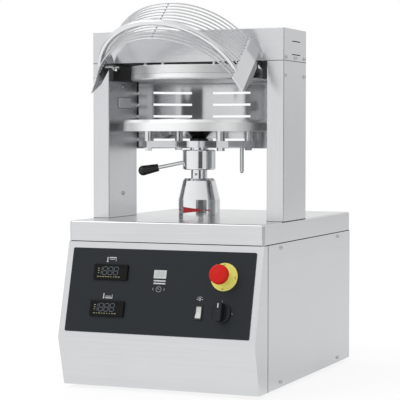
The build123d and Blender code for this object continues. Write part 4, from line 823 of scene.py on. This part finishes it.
# %% [markdown]
# ## Signs over the controllers and the timer
# Over each temperature controller stands a thermometer beside two plates; the heavy one is the
# plate that it heats. The timer has two bars over its keys, a clock ring round the middle key and
# an arrow on each side key. Each sign is a few bars and strokes, in millimetres from its middle.

# %% Controller signs
CONTROLLERS = ("upper_controller", "lower_controller")
SIGN_PLACE = (-2.4, 26.8)
BULB = (-8.6, -4.0)
BULB_R = 1.9
STEM_TOP = (-8.6, 5.2)
STEM_WIDTH = 2.0
HEAVY_PLATE = (3.2, 4.2, 16.0, 2.0)     # middle, width and height
LIGHT_PLATE = (1.6, 0.6, 12.0, 1.1)
PLATE_SIDE = (10.7, 0.0, 1.0, 6.4)


def heat_sign(heavy_side):
    """A thermometer and two plates, with the heavy one above (1) or below (-1)."""
    sign = Drawing()
    sign.disc(*BULB, BULB_R)
    sign.stroke(BULB, STEM_TOP, STEM_WIDTH)
    for x, y, width, height in (HEAVY_PLATE, LIGHT_PLATE, PLATE_SIDE):
        sign.bar(x, heavy_side * y, width, height)
    return sign


for name, heavy_side in zip(CONTROLLERS, (1, -1)):
    place = board(foil_spot(name), SIGN_PLACE)
    stamp(name + "_symbol", heat_sign(heavy_side), place, white_ink)
print("signs over", len(CONTROLLERS), "controllers")

# %% Timer signs
BAR_UP = (17.5, 12.0)
BAR_RIGHT = 0.5
BAR_SIZE = (26.5, 2.7)
CLOCK_R = 5.5
CLOCK_HANDS = [((-2.4, 2.6), (0, 0)), ((0, 0), (1.5, -0.9))]
ARROW_REACH = 1.3
ARROW_RISE = 2.7
SIGN_LINE = 1.1


def arrow(side):
    """Two strokes that meet in a tip on the left (-1) or the right (1)."""
    tip, tail = (side * ARROW_REACH, 0), -side * ARROW_REACH
    return [((tail, ARROW_RISE), tip), (tip, (tail, -ARROW_RISE))]


timer = foil_spot("timer_key_set")
bars = Drawing()
for height in BAR_UP:
    bars.bar(BAR_RIGHT, height, *BAR_SIZE)
stamp("timer_bars", bars, board(timer), white_ink)
clock = Drawing()
clock.ring(0, 0, CLOCK_R, SIGN_LINE)
stamp("timer_clock_ring", clock, board(timer), grey_ink)
KEY_SIGNS = {
    "timer_key_left": arrow(-1), "timer_key_set": CLOCK_HANDS, "timer_key_right": arrow(1),
}
for name, strokes in KEY_SIGNS.items():
    sign = Drawing()
    for start, end in strokes:
        sign.stroke(start, end, SIGN_LINE)
    stamp(name + "_sign", sign, board(panel_spot(name)), grey_ink, body=name)
print("bars, a clock ring and signs on", len(KEY_SIGNS), "keys")

# %% [markdown]
# ## Signs of lamp, switch and stop button
# A lamp with rays stands over the light switch, two ticks stand round the main switch, and three
# arrows on the stop's yellow disc show which way its head turns to come free. The main switch's
# knob carries a white pointer and a black disc of painted shade where the hole of its screw is,
# which turn with it.

# %% Lamp and switch signs
LAMP_UP = 27.4
LAMP_R = 2.0
LAMP_LINE = 1.2
RAY_COUNT = 5
RAY_START, RAY_END = 4.5, 6.6
RAY_LINE = 1.3
TICKS = [((-0.6, 22.0), (-0.6, 26.0)), ((21.8, 1.6), (23.6, -2.4))]
TICK_LINE = 1.0

lamp_sign = Drawing()
lamp_sign.ring(0, 0, LAMP_R, LAMP_LINE)
turns = [math.pi * ray / (RAY_COUNT - 1) for ray in range(RAY_COUNT)]
for near, far in zip(on_circle(0, 0, RAY_START, turns), on_circle(0, 0, RAY_END, turns)):
    lamp_sign.stroke(near, far, RAY_LINE)
stamp("lamp_sign", lamp_sign, board(foil_spot("light_rocker"), (0, LAMP_UP)), white_ink)

ticks = Drawing()
for start, end in TICKS:
    ticks.stroke(start, end, TICK_LINE)
stamp("switch_ticks", ticks, board(foil_spot("switch_knob")), grey_ink)
print("a lamp with", RAY_COUNT, "rays and", len(TICKS), "ticks")

# %% Stop arrows
STOP_TURNS = (90, -6, -96)
STOP_R = 25.0
STOP_LINE = 0.9
STOP_SWEEP = 10
TIP_TURN = 9
BARB_TURN = 4
BARB_REACH = 1.4
BARB_LINE = 0.8

arrows = Drawing()
for turn in STOP_TURNS:
    arrows.arc(0, 0, STOP_R, STOP_LINE, turn - STOP_SWEEP / 2, STOP_SWEEP)
    tip = on_circle(0, 0, STOP_R, [math.radians(turn + TIP_TURN)])[0]
    for radius in (STOP_R - BARB_REACH, STOP_R + BARB_REACH):
        barb = on_circle(0, 0, radius, [math.radians(turn + BARB_TURN)])[0]
        arrows.stroke(barb, tip, BARB_LINE)
stamp("stop_arrows", arrows, board(panel_spot("estop_disc")), olive_ink)
print("arrows on the stop's disc:", len(STOP_TURNS))

# %% Pointer of the main switch
POINTER = (0, 12.2, 2.4, 9.0)   # middle, width and height
HOLE_SHADE_R = 2.1

knob = board(panel_spot("switch_knob"))
pointer = Drawing()
pointer.bar(*POINTER)
stamp("switch_pointer", pointer, knob, white_ink, "switch_knob")
# A black disc of ink stands for the screw hole in the knob: painted shade where the hole is dark.
hole_shade = Drawing()
hole_shade.disc(0, 0, HOLE_SHADE_R)
stamp("switch_hole_shade", hole_shade, knob, black_ink, "switch_knob")
print("pointer", POINTER[-1], "mm long on the knob")

# %% [markdown]
# ## Recipes that grow pieces
# What repeats is grown by Geometry Nodes: a recipe takes a starting mesh, often only points, and a
# few named sizes. Its last two steps turn the instances into real faces and give them a finish. The
# result is kept as a plain mesh, with no recipe left on it.

# %% Recipes
RANDOM_LOW, RANDOM_HIGH = 2, 3  # a Random Value node has these inputs for numbers
RANDOM_NUMBER = 1


class Recipe(Sheet):
    """A Geometry Nodes tree with named inputs that ends as one plain, dressed mesh."""

    def __init__(self, name, **inputs):
        super().__init__(bpy.data.node_groups.new(name, "GeometryNodeTree"))
        sides = self.tree.interface
        sides.new_socket("Geometry", in_out="OUTPUT", socket_type="NodeSocketGeometry")
        sides.new_socket("Start", in_out="INPUT", socket_type="NodeSocketGeometry")
        self.names = {}
        for label, kind in {**inputs, "Finish": "Material"}.items():
            socket = sides.new_socket(label, in_out="INPUT", socket_type="NodeSocket" + kind)
            self.names[label] = socket.identifier
        self.given = self.node("NodeGroupInput").outputs

    def size(self, label):
        return Value(self, self.given[label])

    def attribute(self, name, kind):
        settings = {"data_type": kind}
        return self.node("GeometryNodeInputNamedAttribute", settings, {"Name": name}).outputs[0]

    def random(self, low, high):
        sockets = {RANDOM_LOW: low, RANDOM_HIGH: high, "Seed": self.given["Seed"]}
        chance = self.node("FunctionNodeRandomValue", {"data_type": "FLOAT"}, sockets)
        return Value(self, chance.outputs[RANDOM_NUMBER])

    def bar(self):
        """A box of the recipe's own length, width and depth."""
        size = self.vector(*[self.size(label) for label in ("Length", "Width", "Depth")])
        return self.node("GeometryNodeMeshCube", {}, {"Size": size}).outputs["Mesh"]

    def turn(self, angle):
        """A rotation about z."""
        sockets = {"Axis": (0, 0, 1), "Angle": angle}
        return self.node("FunctionNodeAxisAngleToRotation", {}, sockets).outputs[0]

    def spread(self, piece, **how):
        """The piece on every starting point."""
        sockets = {"Points": self.given["Start"], "Instance": piece, **how}
        return self.node("GeometryNodeInstanceOnPoints", {}, sockets).outputs[0]

    def close(self, geometry):
        plain = self.node("GeometryNodeRealizeInstances", {}, {"Geometry": geometry})
        sockets = {"Geometry": plain.outputs[0], "Material": self.given["Finish"]}
        dressed = self.node("GeometryNodeSetMaterial", {}, sockets)
        self.node("NodeGroupOutput", {}, {0: dressed.outputs[0]})


print("Recipe: a tree with named sizes and a finish")

# %% Growing
def grow(name, recipe, start, **values):
    """Run a recipe on a starting mesh and return a mesh with no modifier on it."""
    host = bpy.data.objects.new(name, start)
    scene.collection.objects.link(host)
    modifier = host.modifiers.new(name, "NODES")
    modifier.node_group = recipe.tree
    for label, value in values.items():
        modifier[recipe.names[label]] = value
    graph = bpy.context.evaluated_depsgraph_get()
    mesh = bpy.data.meshes.new_from_object(host.evaluated_get(graph), depsgraph=graph)
    mesh.name = name
    host.modifiers.remove(modifier)
    bpy.data.objects.remove(host)
    return mesh


def dots(name, places, edges=(), **attributes):
    """A starting mesh of points. An attribute is its kind and one value for each point."""
    mesh = bpy.data.meshes.new(name)
    mesh.from_pydata(places, edges, [])
    for label, (kind, values) in attributes.items():
        layer = mesh.attributes.new(label, kind, "POINT")
        field = "vector" if kind == "FLOAT_VECTOR" else "value"
        for item, value in zip(layer.data, values):
            setattr(item, field, value)
    return mesh


def spaced(count, pitch):
    """Places along a row, with its middle at zero."""
    return [(k - (count - 1) / 2) * pitch for k in range(count)]


print("a row of three:", spaced(3, 1.0))

# %% [markdown]
# ## Digits that are switched off
# Both controllers and the timer are off, and their segments still show faintly. A digit is seven
# bars, so a single bar makes them all. The recipe puts it on points that carry their own turn and
# stretch, because upright bars differ in length from level ones; the drawing then leans a little,
# as such digits do.

# %% Segment digits
SEGMENTS = {
    "a": (0, 1), "g": (0, 0), "d": (0, -1),
    "f": (-0.5, 0.5), "b": (0.5, 0.5), "e": (-0.5, -0.5), "c": (0.5, -0.5),
}
LEVEL_SEGMENTS = "agd"
FIGURE_ONE = "bc"
SEGMENT_LENGTH = 0.80   # shares of a digit's width
SEGMENT_WIDTH = 0.15
DIGIT_LEAN = math.radians(7)
digit_lean = Matrix.Identity(4)
digit_lean[X][Y] = math.tan(DIGIT_LEAN)


def segment_bars():
    bars = Recipe("segment_bars", Length="Float", Width="Float", Depth="Float")
    stretch = bars.vector(Value(bars, bars.attribute("stretch", "FLOAT")), 1.0, 1.0)
    turn = bars.turn(bars.attribute("turn", "FLOAT"))
    bars.close(bars.spread(bars.bar(), Rotation=turn, Scale=stretch))
    return bars


def digit_dots(name, figures, wide, tall, pitch):
    """Points of the segments for a row of figures such as 1 or 8, with sizes in millimetres."""
    places, turns, stretches = [], [], []
    for x, figure in zip(spaced(len(figures), pitch), figures):
        for letter in FIGURE_ONE if figure == "1" else SEGMENTS:
            across, along = SEGMENTS[letter]
            places.append(((x + across * wide) * MM, along * tall / 2 * MM, 0))
            turns.append(0 if letter in LEVEL_SEGMENTS else math.pi / 2)
            stretches.append(1.0 if letter in LEVEL_SEGMENTS else tall / 2 / wide)
    return dots(name, places, turn=("FLOAT", turns), stretch=("FLOAT", stretches))


bar_recipe = segment_bars()
print("a digit has", len(SEGMENTS), "segments")

# %% Digits in their windows
WINDOW_SINK = 0.6 * MM
CONTROLLER_DIGITS = {"wide": 9.4, "tall": 16.4, "pitch": 12.6}
CONTROLLER_DIGITS_PLACE = (-6.2, 2.0)
TIMER_DIGITS = {"wide": 5.4, "tall": 10.4, "pitch": 9.4}
TIMER_DIGITS_PLACE = (0, 31.3)


def digits(name, figures, place, finish, wide, tall, pitch):
    start = digit_dots(name, figures, wide, tall, pitch)
    sizes = {"Length": wide * SEGMENT_LENGTH * MM, "Width": wide * SEGMENT_WIDTH * MM}
    mesh = grow(name, bar_recipe, start, Depth=2 * INK_T, Finish=finish, **sizes)
    mesh.transform(place @ digit_lean)
    return keep(name, mesh, "base")


ghost_ink = ink("ghost_segments", (0.100, 0.125, 0.140))
pale_ghost = ink("pale_segments", (0.33, 0.38, 0.36))
for name in CONTROLLERS:
    place = board(panel_spot(name, WINDOW_SINK), CONTROLLER_DIGITS_PLACE)
    digits(name + "_digits", "1888", place, ghost_ink, **CONTROLLER_DIGITS)
glass = Vector((*timer.xy, panel_spot("timer_module").z))
digits("timer_digits", "88", board(glass, TIMER_DIGITS_PLACE), pale_ghost, **TIMER_DIGITS)
print("digits on", len(CONTROLLERS), "controllers and the timer")

# %% [markdown]
# ## Legends on the controllers
# Below the digits runs a row of tiny printed legends, and left of them stand a few lamps. At this
# size they are only dashes, so another recipe lays bars of uneven length along a line. The seed is
# fixed: the same dashes grow each time.

# %% Legends
LEGEND_COUNT = 9
LEGEND_PITCH = 6.0
LEGEND_PLACE = (-3.4, -10.6)
LEGEND_SIZE = {"Length": 4.0 * MM, "Width": 1.5 * MM, "Depth": 2 * INK_T}
LEGEND_SHORT, LEGEND_LONG = 0.45, 1.15
LEGEND_SEED = 3
LAMP_COUNT = 3
LAMP_PITCH = 4.6
LAMP_PLACE = (-27.0, 6.6)


def legend_marks():
    marks = Recipe("legend_marks", Length="Float", Width="Float", Depth="Float", Seed="Int")
    stretch = marks.vector(marks.random(LEGEND_SHORT, LEGEND_LONG), 1.0, 1.0)
    marks.close(marks.spread(marks.bar(), Scale=stretch))
    return marks


legend_recipe = legend_marks()
pale_legend = ink("pale_legend", (0.40, 0.38, 0.22))
marks = [(x + LEGEND_PLACE[0], LEGEND_PLACE[1]) for x in spaced(LEGEND_COUNT, LEGEND_PITCH)]
marks += [(LAMP_PLACE[0], LAMP_PLACE[1] - k * LAMP_PITCH) for k in range(LAMP_COUNT)]
for seed, controller in enumerate(CONTROLLERS, LEGEND_SEED):
    name = controller + "_legends"
    start = dots(name, [(x * MM, y * MM, 0) for x, y in marks])
    mesh = grow(name, legend_recipe, start, Seed=seed, Finish=pale_legend, **LEGEND_SIZE)
    mesh.transform(board(panel_spot(controller, WINDOW_SINK)))
    keep(name, mesh, "base")
print("legends:", LEGEND_COUNT, "dashes and", LAMP_COUNT, "lamps on each controller")

# %% [markdown]
# ## Painted shade in the gaps, and a gasket
# A black bead under the lid's edge is painted shade: it stands for the shadow in the gap between
# the lid and the panels. A gasket lies round the work light. Thin dark beads at the foot and the
# top of the columns, beside the front corners and under the upper plate's cover are painted shade
# too, for the shadow in those joints. Each follows a line, so the recipe turns a line into a curve
# and sweeps a small circle along it, with caps on the ends of an open one.

# %% Beads
BEAD_SIDES = 10
CORNER_STEPS = 6


def swept_bead():
    bead = Recipe("swept_bead", Radius="Float")
    line = bead.node("GeometryNodeMeshToCurve", {}, {"Mesh": bead.given["Start"]})
    sockets = {"Resolution": BEAD_SIDES, "Radius": bead.size("Radius")}
    ring = bead.node("GeometryNodeCurvePrimitiveCircle", {}, sockets)
    sockets = {"Curve": line.outputs[0], "Profile Curve": ring.outputs[0], "Fill Caps": True}
    bead.close(bead.node("GeometryNodeCurveToMesh", {}, sockets).outputs[0])
    return bead


def plan_line(name, low, high, corner, level, steps=CORNER_STEPS):
    """A closed line round a box's plan, with round corners, at one height."""
    middles = [
        (high.x - corner, high.y - corner), (low.x + corner, high.y - corner),
        (low.x + corner, low.y + corner), (high.x - corner, low.y + corner),
    ]
    points = []
    for quarter, (x, y) in enumerate(middles):
        turns = [math.pi / 2 * (quarter + step / steps) for step in range(steps + 1)]
        points += [(*point, level) for point in on_circle(x, y, corner, turns)]
    return dots(name, points, [(k, (k + 1) % len(points)) for k in range(len(points))])


bead_recipe = swept_bead()
# The black serves the lamp's gasket and the painted shade under the lid; the dark grey is painted
# shade in the joints.
gasket_and_gap_shade = moulded(
    "seal_rubber", grey(0.004), gloss=0.6, grain=0.10, pits=RUBBER_PITS, shine=0.10,
)
joint_shade = moulded(
    "joint_bead", (0.016, 0.016, 0.017), gloss=0.6, grain=0.10, pits=RUBBER_PITS, shine=0.15,
)


def lay_bead(name, line, radius, finish):
    mesh = grow(name, bead_recipe, line, Radius=radius, Finish=finish)
    return keep(name, mesh, "base")


print("a bead is a circle of", BEAD_SIDES, "sides along a line")

# %% Painted shade in the gaps, and the lamp's gasket
LID_SHADE_R = 1.4 * MM
LID_SHADE_INSET = 0.9 * MM
LID_SHADE_DROP = 0.2 * MM
LID_CORNER = 6.0 * MM
FOOT_BEAD_R = 0.7 * MM
HEAD_BEAD_R = 0.6 * MM
COLUMN_CORNER = 2.0 * MM
CORNER_BEAD_R = 0.5 * MM
GASKET_R = 0.9 * MM
LAMP_CORNER = 2.0 * MM
COVER_BEAD_R = 0.45 * MM
COVER_STEPS = 24

# The lid's bead is painted shade: a black line for the shadow in the gap under the lid's edge.
lid_low, lid_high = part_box("top_lid")
inset = Vector((LID_SHADE_INSET, LID_SHADE_INSET, 0))
lid_shade_level = lid_low.z - LID_SHADE_DROP
lid_line = plan_line("lid_gap_shade", lid_low + inset, lid_high - inset, LID_CORNER, lid_shade_level)
lay_bead("lid_gap_shade", lid_line, LID_SHADE_R, gasket_and_gap_shade)

# The beads at the foot and head of the columns and at the front corners are painted shade in the
# joints.
for side in ("left", "right"):
    low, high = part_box(side + "_column")
    for place, level, radius in (("foot", lid_high.z, FOOT_BEAD_R), ("head", high.z, HEAD_BEAD_R)):
        name = side + "_column_" + place + "_bead"
        lay_bead(name, plan_line(name, low, high, COLUMN_CORNER, level), radius, joint_shade)
    low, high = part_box(side + "_side_panel")
    outside = high.x if side == "right" else low.x
    ends = [Vector((outside, low.y, low.z)), Vector((outside, low.y, high.z))]
    name = side + "_corner_bead"
    lay_bead(name, dots(name, ends, [(0, 1)]), CORNER_BEAD_R, joint_shade)

lamp_low, lamp_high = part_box("work_light")
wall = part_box("left_column")[1].x
plan_to_wall = Matrix(((0, 0, 1, wall), (1, 0, 0, 0), (0, 1, 0, 0), (0, 0, 0, 1)))
lamp_line = plan_line("work_light_gasket", lamp_low.yz, lamp_high.yz, LAMP_CORNER, 0.0)
lamp_line.transform(plan_to_wall)
lay_bead("work_light_gasket", lamp_line, GASKET_R, gasket_and_gap_shade)

# The bead under the cover is painted shade: a dark line for the shadow below it.
low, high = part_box("upper_cover")
cover_r = (high.x - low.x) / 2
cover_line = plan_line("cover_bead", low, high, cover_r, low.z, COVER_STEPS)
lay_bead("cover_bead", cover_line, COVER_BEAD_R, joint_shade)
# Of these, all but the lamp's gasket are painted shade in the gaps.
print("a lid seal, a lamp gasket, a cover bead, four column beads and two at the front corners")

# %% [markdown]
# ## Welds of the guard
# Each wire of the guard is spot-welded to the edge of an end plate. A weld is a small flattened
# bead, never twice the same size. The guard is raised about its hinge, so the row of points is laid
# out in the guard's own directions and carried there by a matrix.

# %% Welds
RAISE = math.radians(49)
WELD_R = 2.1 * MM
WELD_LONG = 1.25
WELD_VARY = 0.18
WELD_SMOOTH = 2
WELD_SEED = 11
WELD_ROWS = 13
WELD_RUN = 118.0 * MM
WELD_FIRST = 6.3 * MM
WELD_OUT = 152.0 * MM
WELD_FORWARD = -66.0 * MM


def weld_beads():
    welds = Recipe("weld_beads", Radius="Float", Vary="Float", Seed="Int")
    sockets = {"Radius": welds.size("Radius"), "Subdivisions": WELD_SMOOTH}
    ball = welds.node("GeometryNodeMeshIcoSphere", {}, sockets)
    vary = welds.size("Vary")
    grown = welds.random(1 - vary, 1 + vary)
    scale = welds.vector(grown, grown, WELD_LONG * grown)
    welds.close(welds.spread(ball.outputs["Mesh"], Scale=scale))
    return welds


pin_low, pin_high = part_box("hinge_pins")
hinge = Vector((0, (pin_low.y + pin_high.y) / 2, (pin_low.z + pin_high.z) / 2))
guard_place = Matrix.Translation(hinge) @ Matrix.Rotation(-RAISE, 4, "X")
weld_recipe = weld_beads()
weld_metal = oiled_metal("weld_metal", grey(0.34), grey(0.52), gloss=0.30)
levels = [WELD_FIRST - k * WELD_RUN / (WELD_ROWS - 1) for k in range(WELD_ROWS)]
for seed, (side, across) in enumerate((("left", -WELD_OUT), ("right", WELD_OUT)), WELD_SEED):
    name = side + "_guard_welds"
    start = dots(name, [(across, WELD_FORWARD, level) for level in levels])
    sizes = {"Radius": WELD_R, "Vary": WELD_VARY}
    mesh = grow(name, weld_recipe, start, Seed=seed, Finish=weld_metal, **sizes)
    mesh.transform(guard_place)
    keep(name, mesh, "guard")
print("welds:", 2 * WELD_ROWS, "beads")

# %% [markdown]
# ## Screws
# The panels are held by pan-head screws with a hexagon socket. One recipe makes the screw from a
# cylinder: the top is drawn in to a crown, a rim is left, its inner loop is moved onto a hexagon
# and sunk. The hexagon needs no drawing: at an angle t its edge is at a / cos(t mod 60 - 30). Each
# screw is turned by chance, as a fitter leaves it.

# %% Screw recipe
HEX_STEP = math.pi / 3
HEAD_SIDES = 24
SHANK_SIDES = 12
SOCKET_SINK = 0.55      # shares of the head's height
SHANK_REACH = 0.25
SCREW_SIZES = ("Head", "Height", "Crown", "Socket", "Shank", "Grip")


def rod(screw, sides, width, length, lift):
    """A cylinder along z, moved up, and the selection of its top."""
    sockets = {"Vertices": sides, "Radius": width / 2, "Depth": length}
    plain = screw.node("GeometryNodeMeshCylinder", {"fill_type": "NGON"}, sockets)
    sockets = {"Geometry": plain.outputs["Mesh"], "Translation": screw.vector(0, 0, lift)}
    moved = screw.node("GeometryNodeTransform", {}, sockets)
    return moved.outputs[0], plain.outputs["Top"]


def raised(screw, mesh, top, rise):
    """A mesh whose top is pulled out, or in by a rise below zero."""
    sockets = {"Mesh": mesh, "Selection": top, "Offset Scale": rise}
    return screw.node("GeometryNodeExtrudeMesh", {"mode": "FACES"}, sockets).outputs


def socket_head(screw, height):
    head, top = rod(screw, HEAD_SIDES, screw.size("Head"), height, height / 2)
    sockets = {"Geometry": head, "Selection": top, "Scale": screw.size("Crown")}
    crowned = screw.node("GeometryNodeScaleElements", {"domain": "FACE"}, sockets)
    rim = raised(screw, crowned.outputs[0], top, 0.0)
    x, y, z = screw.parts(screw.node("GeometryNodeInputPosition").outputs[0])
    turn = y.math("ARCTAN2", y, x)
    edge = screw.size("Socket") / 2 / abs(turn % HEX_STEP - HEX_STEP / 2).cosine()
    hexagon = screw.vector(edge * turn.cosine(), edge * turn.sine(), z)
    sockets = {"Geometry": rim["Mesh"], "Selection": rim["Top"], "Position": hexagon}
    loop = screw.node("GeometryNodeSetPosition", {}, sockets)
    return raised(screw, loop.outputs[0], rim["Top"], -SOCKET_SINK * height)["Mesh"]


def chance_turn(screw):
    """A rotation that faces outward and is turned by chance."""
    facing = {"Vector": screw.attribute("facing", "FLOAT_VECTOR")}
    upright = screw.node("FunctionNodeAlignRotationToVector", {"axis": "Z"}, facing)
    spin = screw.turn(screw.random(0.0, math.tau))
    sockets = {"Rotation": upright.outputs[0], "Rotate By": spin}
    return screw.node("FunctionNodeRotateRotation", {"rotation_space": "LOCAL"}, sockets).outputs[0]


def socket_screw():
    screw = Recipe("socket_screw", **dict.fromkeys(SCREW_SIZES, "Float"), Seed="Int")
    height, grip = screw.size("Height"), screw.size("Grip")
    length = grip + SHANK_REACH * height
    shank = rod(screw, SHANK_SIDES, screw.size("Shank"), length, length / 2 - grip)[0]
    sockets = {"Geometry": [shank, socket_head(screw, height)]}
    whole = screw.node("GeometryNodeJoinGeometry", {}, sockets).outputs[0]
    tall = screw.vector(1.0, 1.0, Value(screw, screw.attribute("tall", "FLOAT")))
    screw.close(screw.spread(whole, Rotation=chance_turn(screw), Scale=tall))
    return screw


screw_recipe = socket_screw()
print("a screw is", len(screw_recipe.tree.nodes), "nodes")

# %% [markdown]
# ## Places of the screws
# The frame already has plain screws where the panels are fixed, all in one mesh. Its separate
# solids are found by walking along edges, and each gives a seat and a direction. The cap screws on
# the upper plate's cover face upward, and their heads are taller.

# %% Places of the screws
SAME_POINT = 1e-6


def islands(mesh):
    """The separate solids of a mesh, each as a list of points."""
    merged = bmesh.new()
    merged.from_mesh(mesh)
    bmesh.ops.remove_doubles(merged, verts=merged.verts, dist=SAME_POINT)
    left, groups = set(merged.verts), []
    while left:
        queue, group = [left.pop()], []
        while queue:
            vertex = queue.pop()
            group.append(vertex.co.copy())
            near = {edge.other_vert(vertex) for edge in vertex.link_edges} & left
            left -= near
            queue.extend(near)
        groups.append(group)
    merged.free()
    return groups


def seat_and_facing(points):
    """A screw's seat and outward direction: its rim is widest, and nearer to the crown."""
    low = Vector([min(point[k] for point in points) for k in range(3)])
    high = Vector([max(point[k] for point in points) for k in range(3)])
    middle, span = (low + high) / 2, high - low
    axis = min(range(3), key=lambda k: span[k])
    along = Vector([float(k == axis) for k in range(3)])
    rim = max(points, key=lambda point: (point - middle - along * (point - middle)[axis]).length)
    offset = (rim - middle)[axis]
    return middle + along * offset, along * math.copysign(1.0, offset)


screws = [seat_and_facing(points) for points in islands(nodes["cover_screws"].data)]
print("screws in the panels:", len(screws))

# %% Fitted screws
PAN_SCREW = {
    "Head": 9.0 * MM, "Height": 2.4 * MM, "Crown": 0.78, "Socket": 3.4 * MM,
    "Shank": 4.8 * MM, "Grip": 3.2 * MM, "Seed": 5, "Finish": zinc,
}
GRUB_SCREW = {
    "Head": 6.5 * MM, "Height": 0.5 * MM, "Crown": 0.9, "Socket": 3.4 * MM,
    "Shank": 5.0 * MM, "Grip": 2.0 * MM, "Seed": 2, "Finish": gear_steel,
}
CAP_TALL = 2.4
FACES_UP = 0.5
GRUB_Z = 448.0 * MM
GRUB_SINK = 0.2 * MM


def fitted(name, seats, facings, talls, sizes):
    start = dots(name, seats, facing=("FLOAT_VECTOR", facings), tall=("FLOAT", talls))
    return grow(name, screw_recipe, start, **sizes)


seats, facings = zip(*screws)
talls = [CAP_TALL if facing.z > FACES_UP else 1.0 for facing in facings]
mesh = fitted("panel_screws", seats, facings, talls, PAN_SCREW)
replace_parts(keep("panel_screws", mesh, "base"), "cover_screws")

ram_low, ram_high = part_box("ram")
neck_r = (ram_high.x - ram_low.x) / 2
grub_seat = Vector((RAM_AXIS[X], RAM_AXIS[Y] - neck_r + GRUB_SINK, GRUB_Z))
mesh = fitted("grub_screw", [grub_seat], [Vector((0, -1, 0))], [1.0], GRUB_SCREW)
keep("grub_screw", mesh, "ram")
print("cap screws among them:", talls.count(CAP_TALL), "and one grub screw in the ram's neck")

# %% [markdown]
# ## The setting mark
# A red wedge on the cone cover marks the collar's setting, with a short dash on each side of it.
# The mark is a film wrapped round the cone's straight foot: at each angle it has a height, so a
# list of angles and heights is the whole drawing. Angles count from straight ahead of the machine.

# %% Setting mark
MARK_Z = 371.2 * MM
MARK_T = 0.08 * MM
MARK_SINK = MARK_T / 4
MARK_STEPS = 14
MARKS = [   # angle and height at both ends
    ((-26.9, 14.0), (27.7, 4.0)),
    ((-52.2, 2.4), (-37.0, 2.4)),
    ((39.5, 2.4), (54.5, 2.4)),
]
cone_low, cone_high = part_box("cone_cover")
cone_r = (cone_high.x - cone_low.x) / 2


def station(film, angle, tall):
    """The four corners of a film's section at one angle."""
    turn = math.radians(AHEAD + angle)
    across = Vector((math.cos(turn), math.sin(turn), 0))
    corners = []
    for depth, rise in ((0, -1), (MARK_T, -1), (MARK_T, 1), (0, 1)):
        point = Vector(RAM_AXIS) + across * (cone_r + depth - MARK_SINK)
        corners.append(film.verts.new(point + Vector((0, 0, MARK_Z + rise * tall / 2 * MM))))
    return corners


def wrapped(name, marks):
    film = bmesh.new()
    for first_end, last_end in marks:
        first_end, last_end = Vector(first_end), Vector(last_end)
        ends = [first_end.lerp(last_end, step / MARK_STEPS) for step in range(MARK_STEPS + 1)]
        stations = [station(film, angle, tall) for angle, tall in ends]
        film.faces.new(stations[0])
        film.faces.new(reversed(stations[-1]))
        for first, second in zip(stations, stations[1:]):
            walls(film, first, second)
    return mesh_of(film, name)


keep("setting_mark", wrapped("setting_mark", MARKS), "base", red_ink)
print("setting mark of", len(MARKS), "strokes on a cone of radius", round(cone_r / MM, 1), "mm")
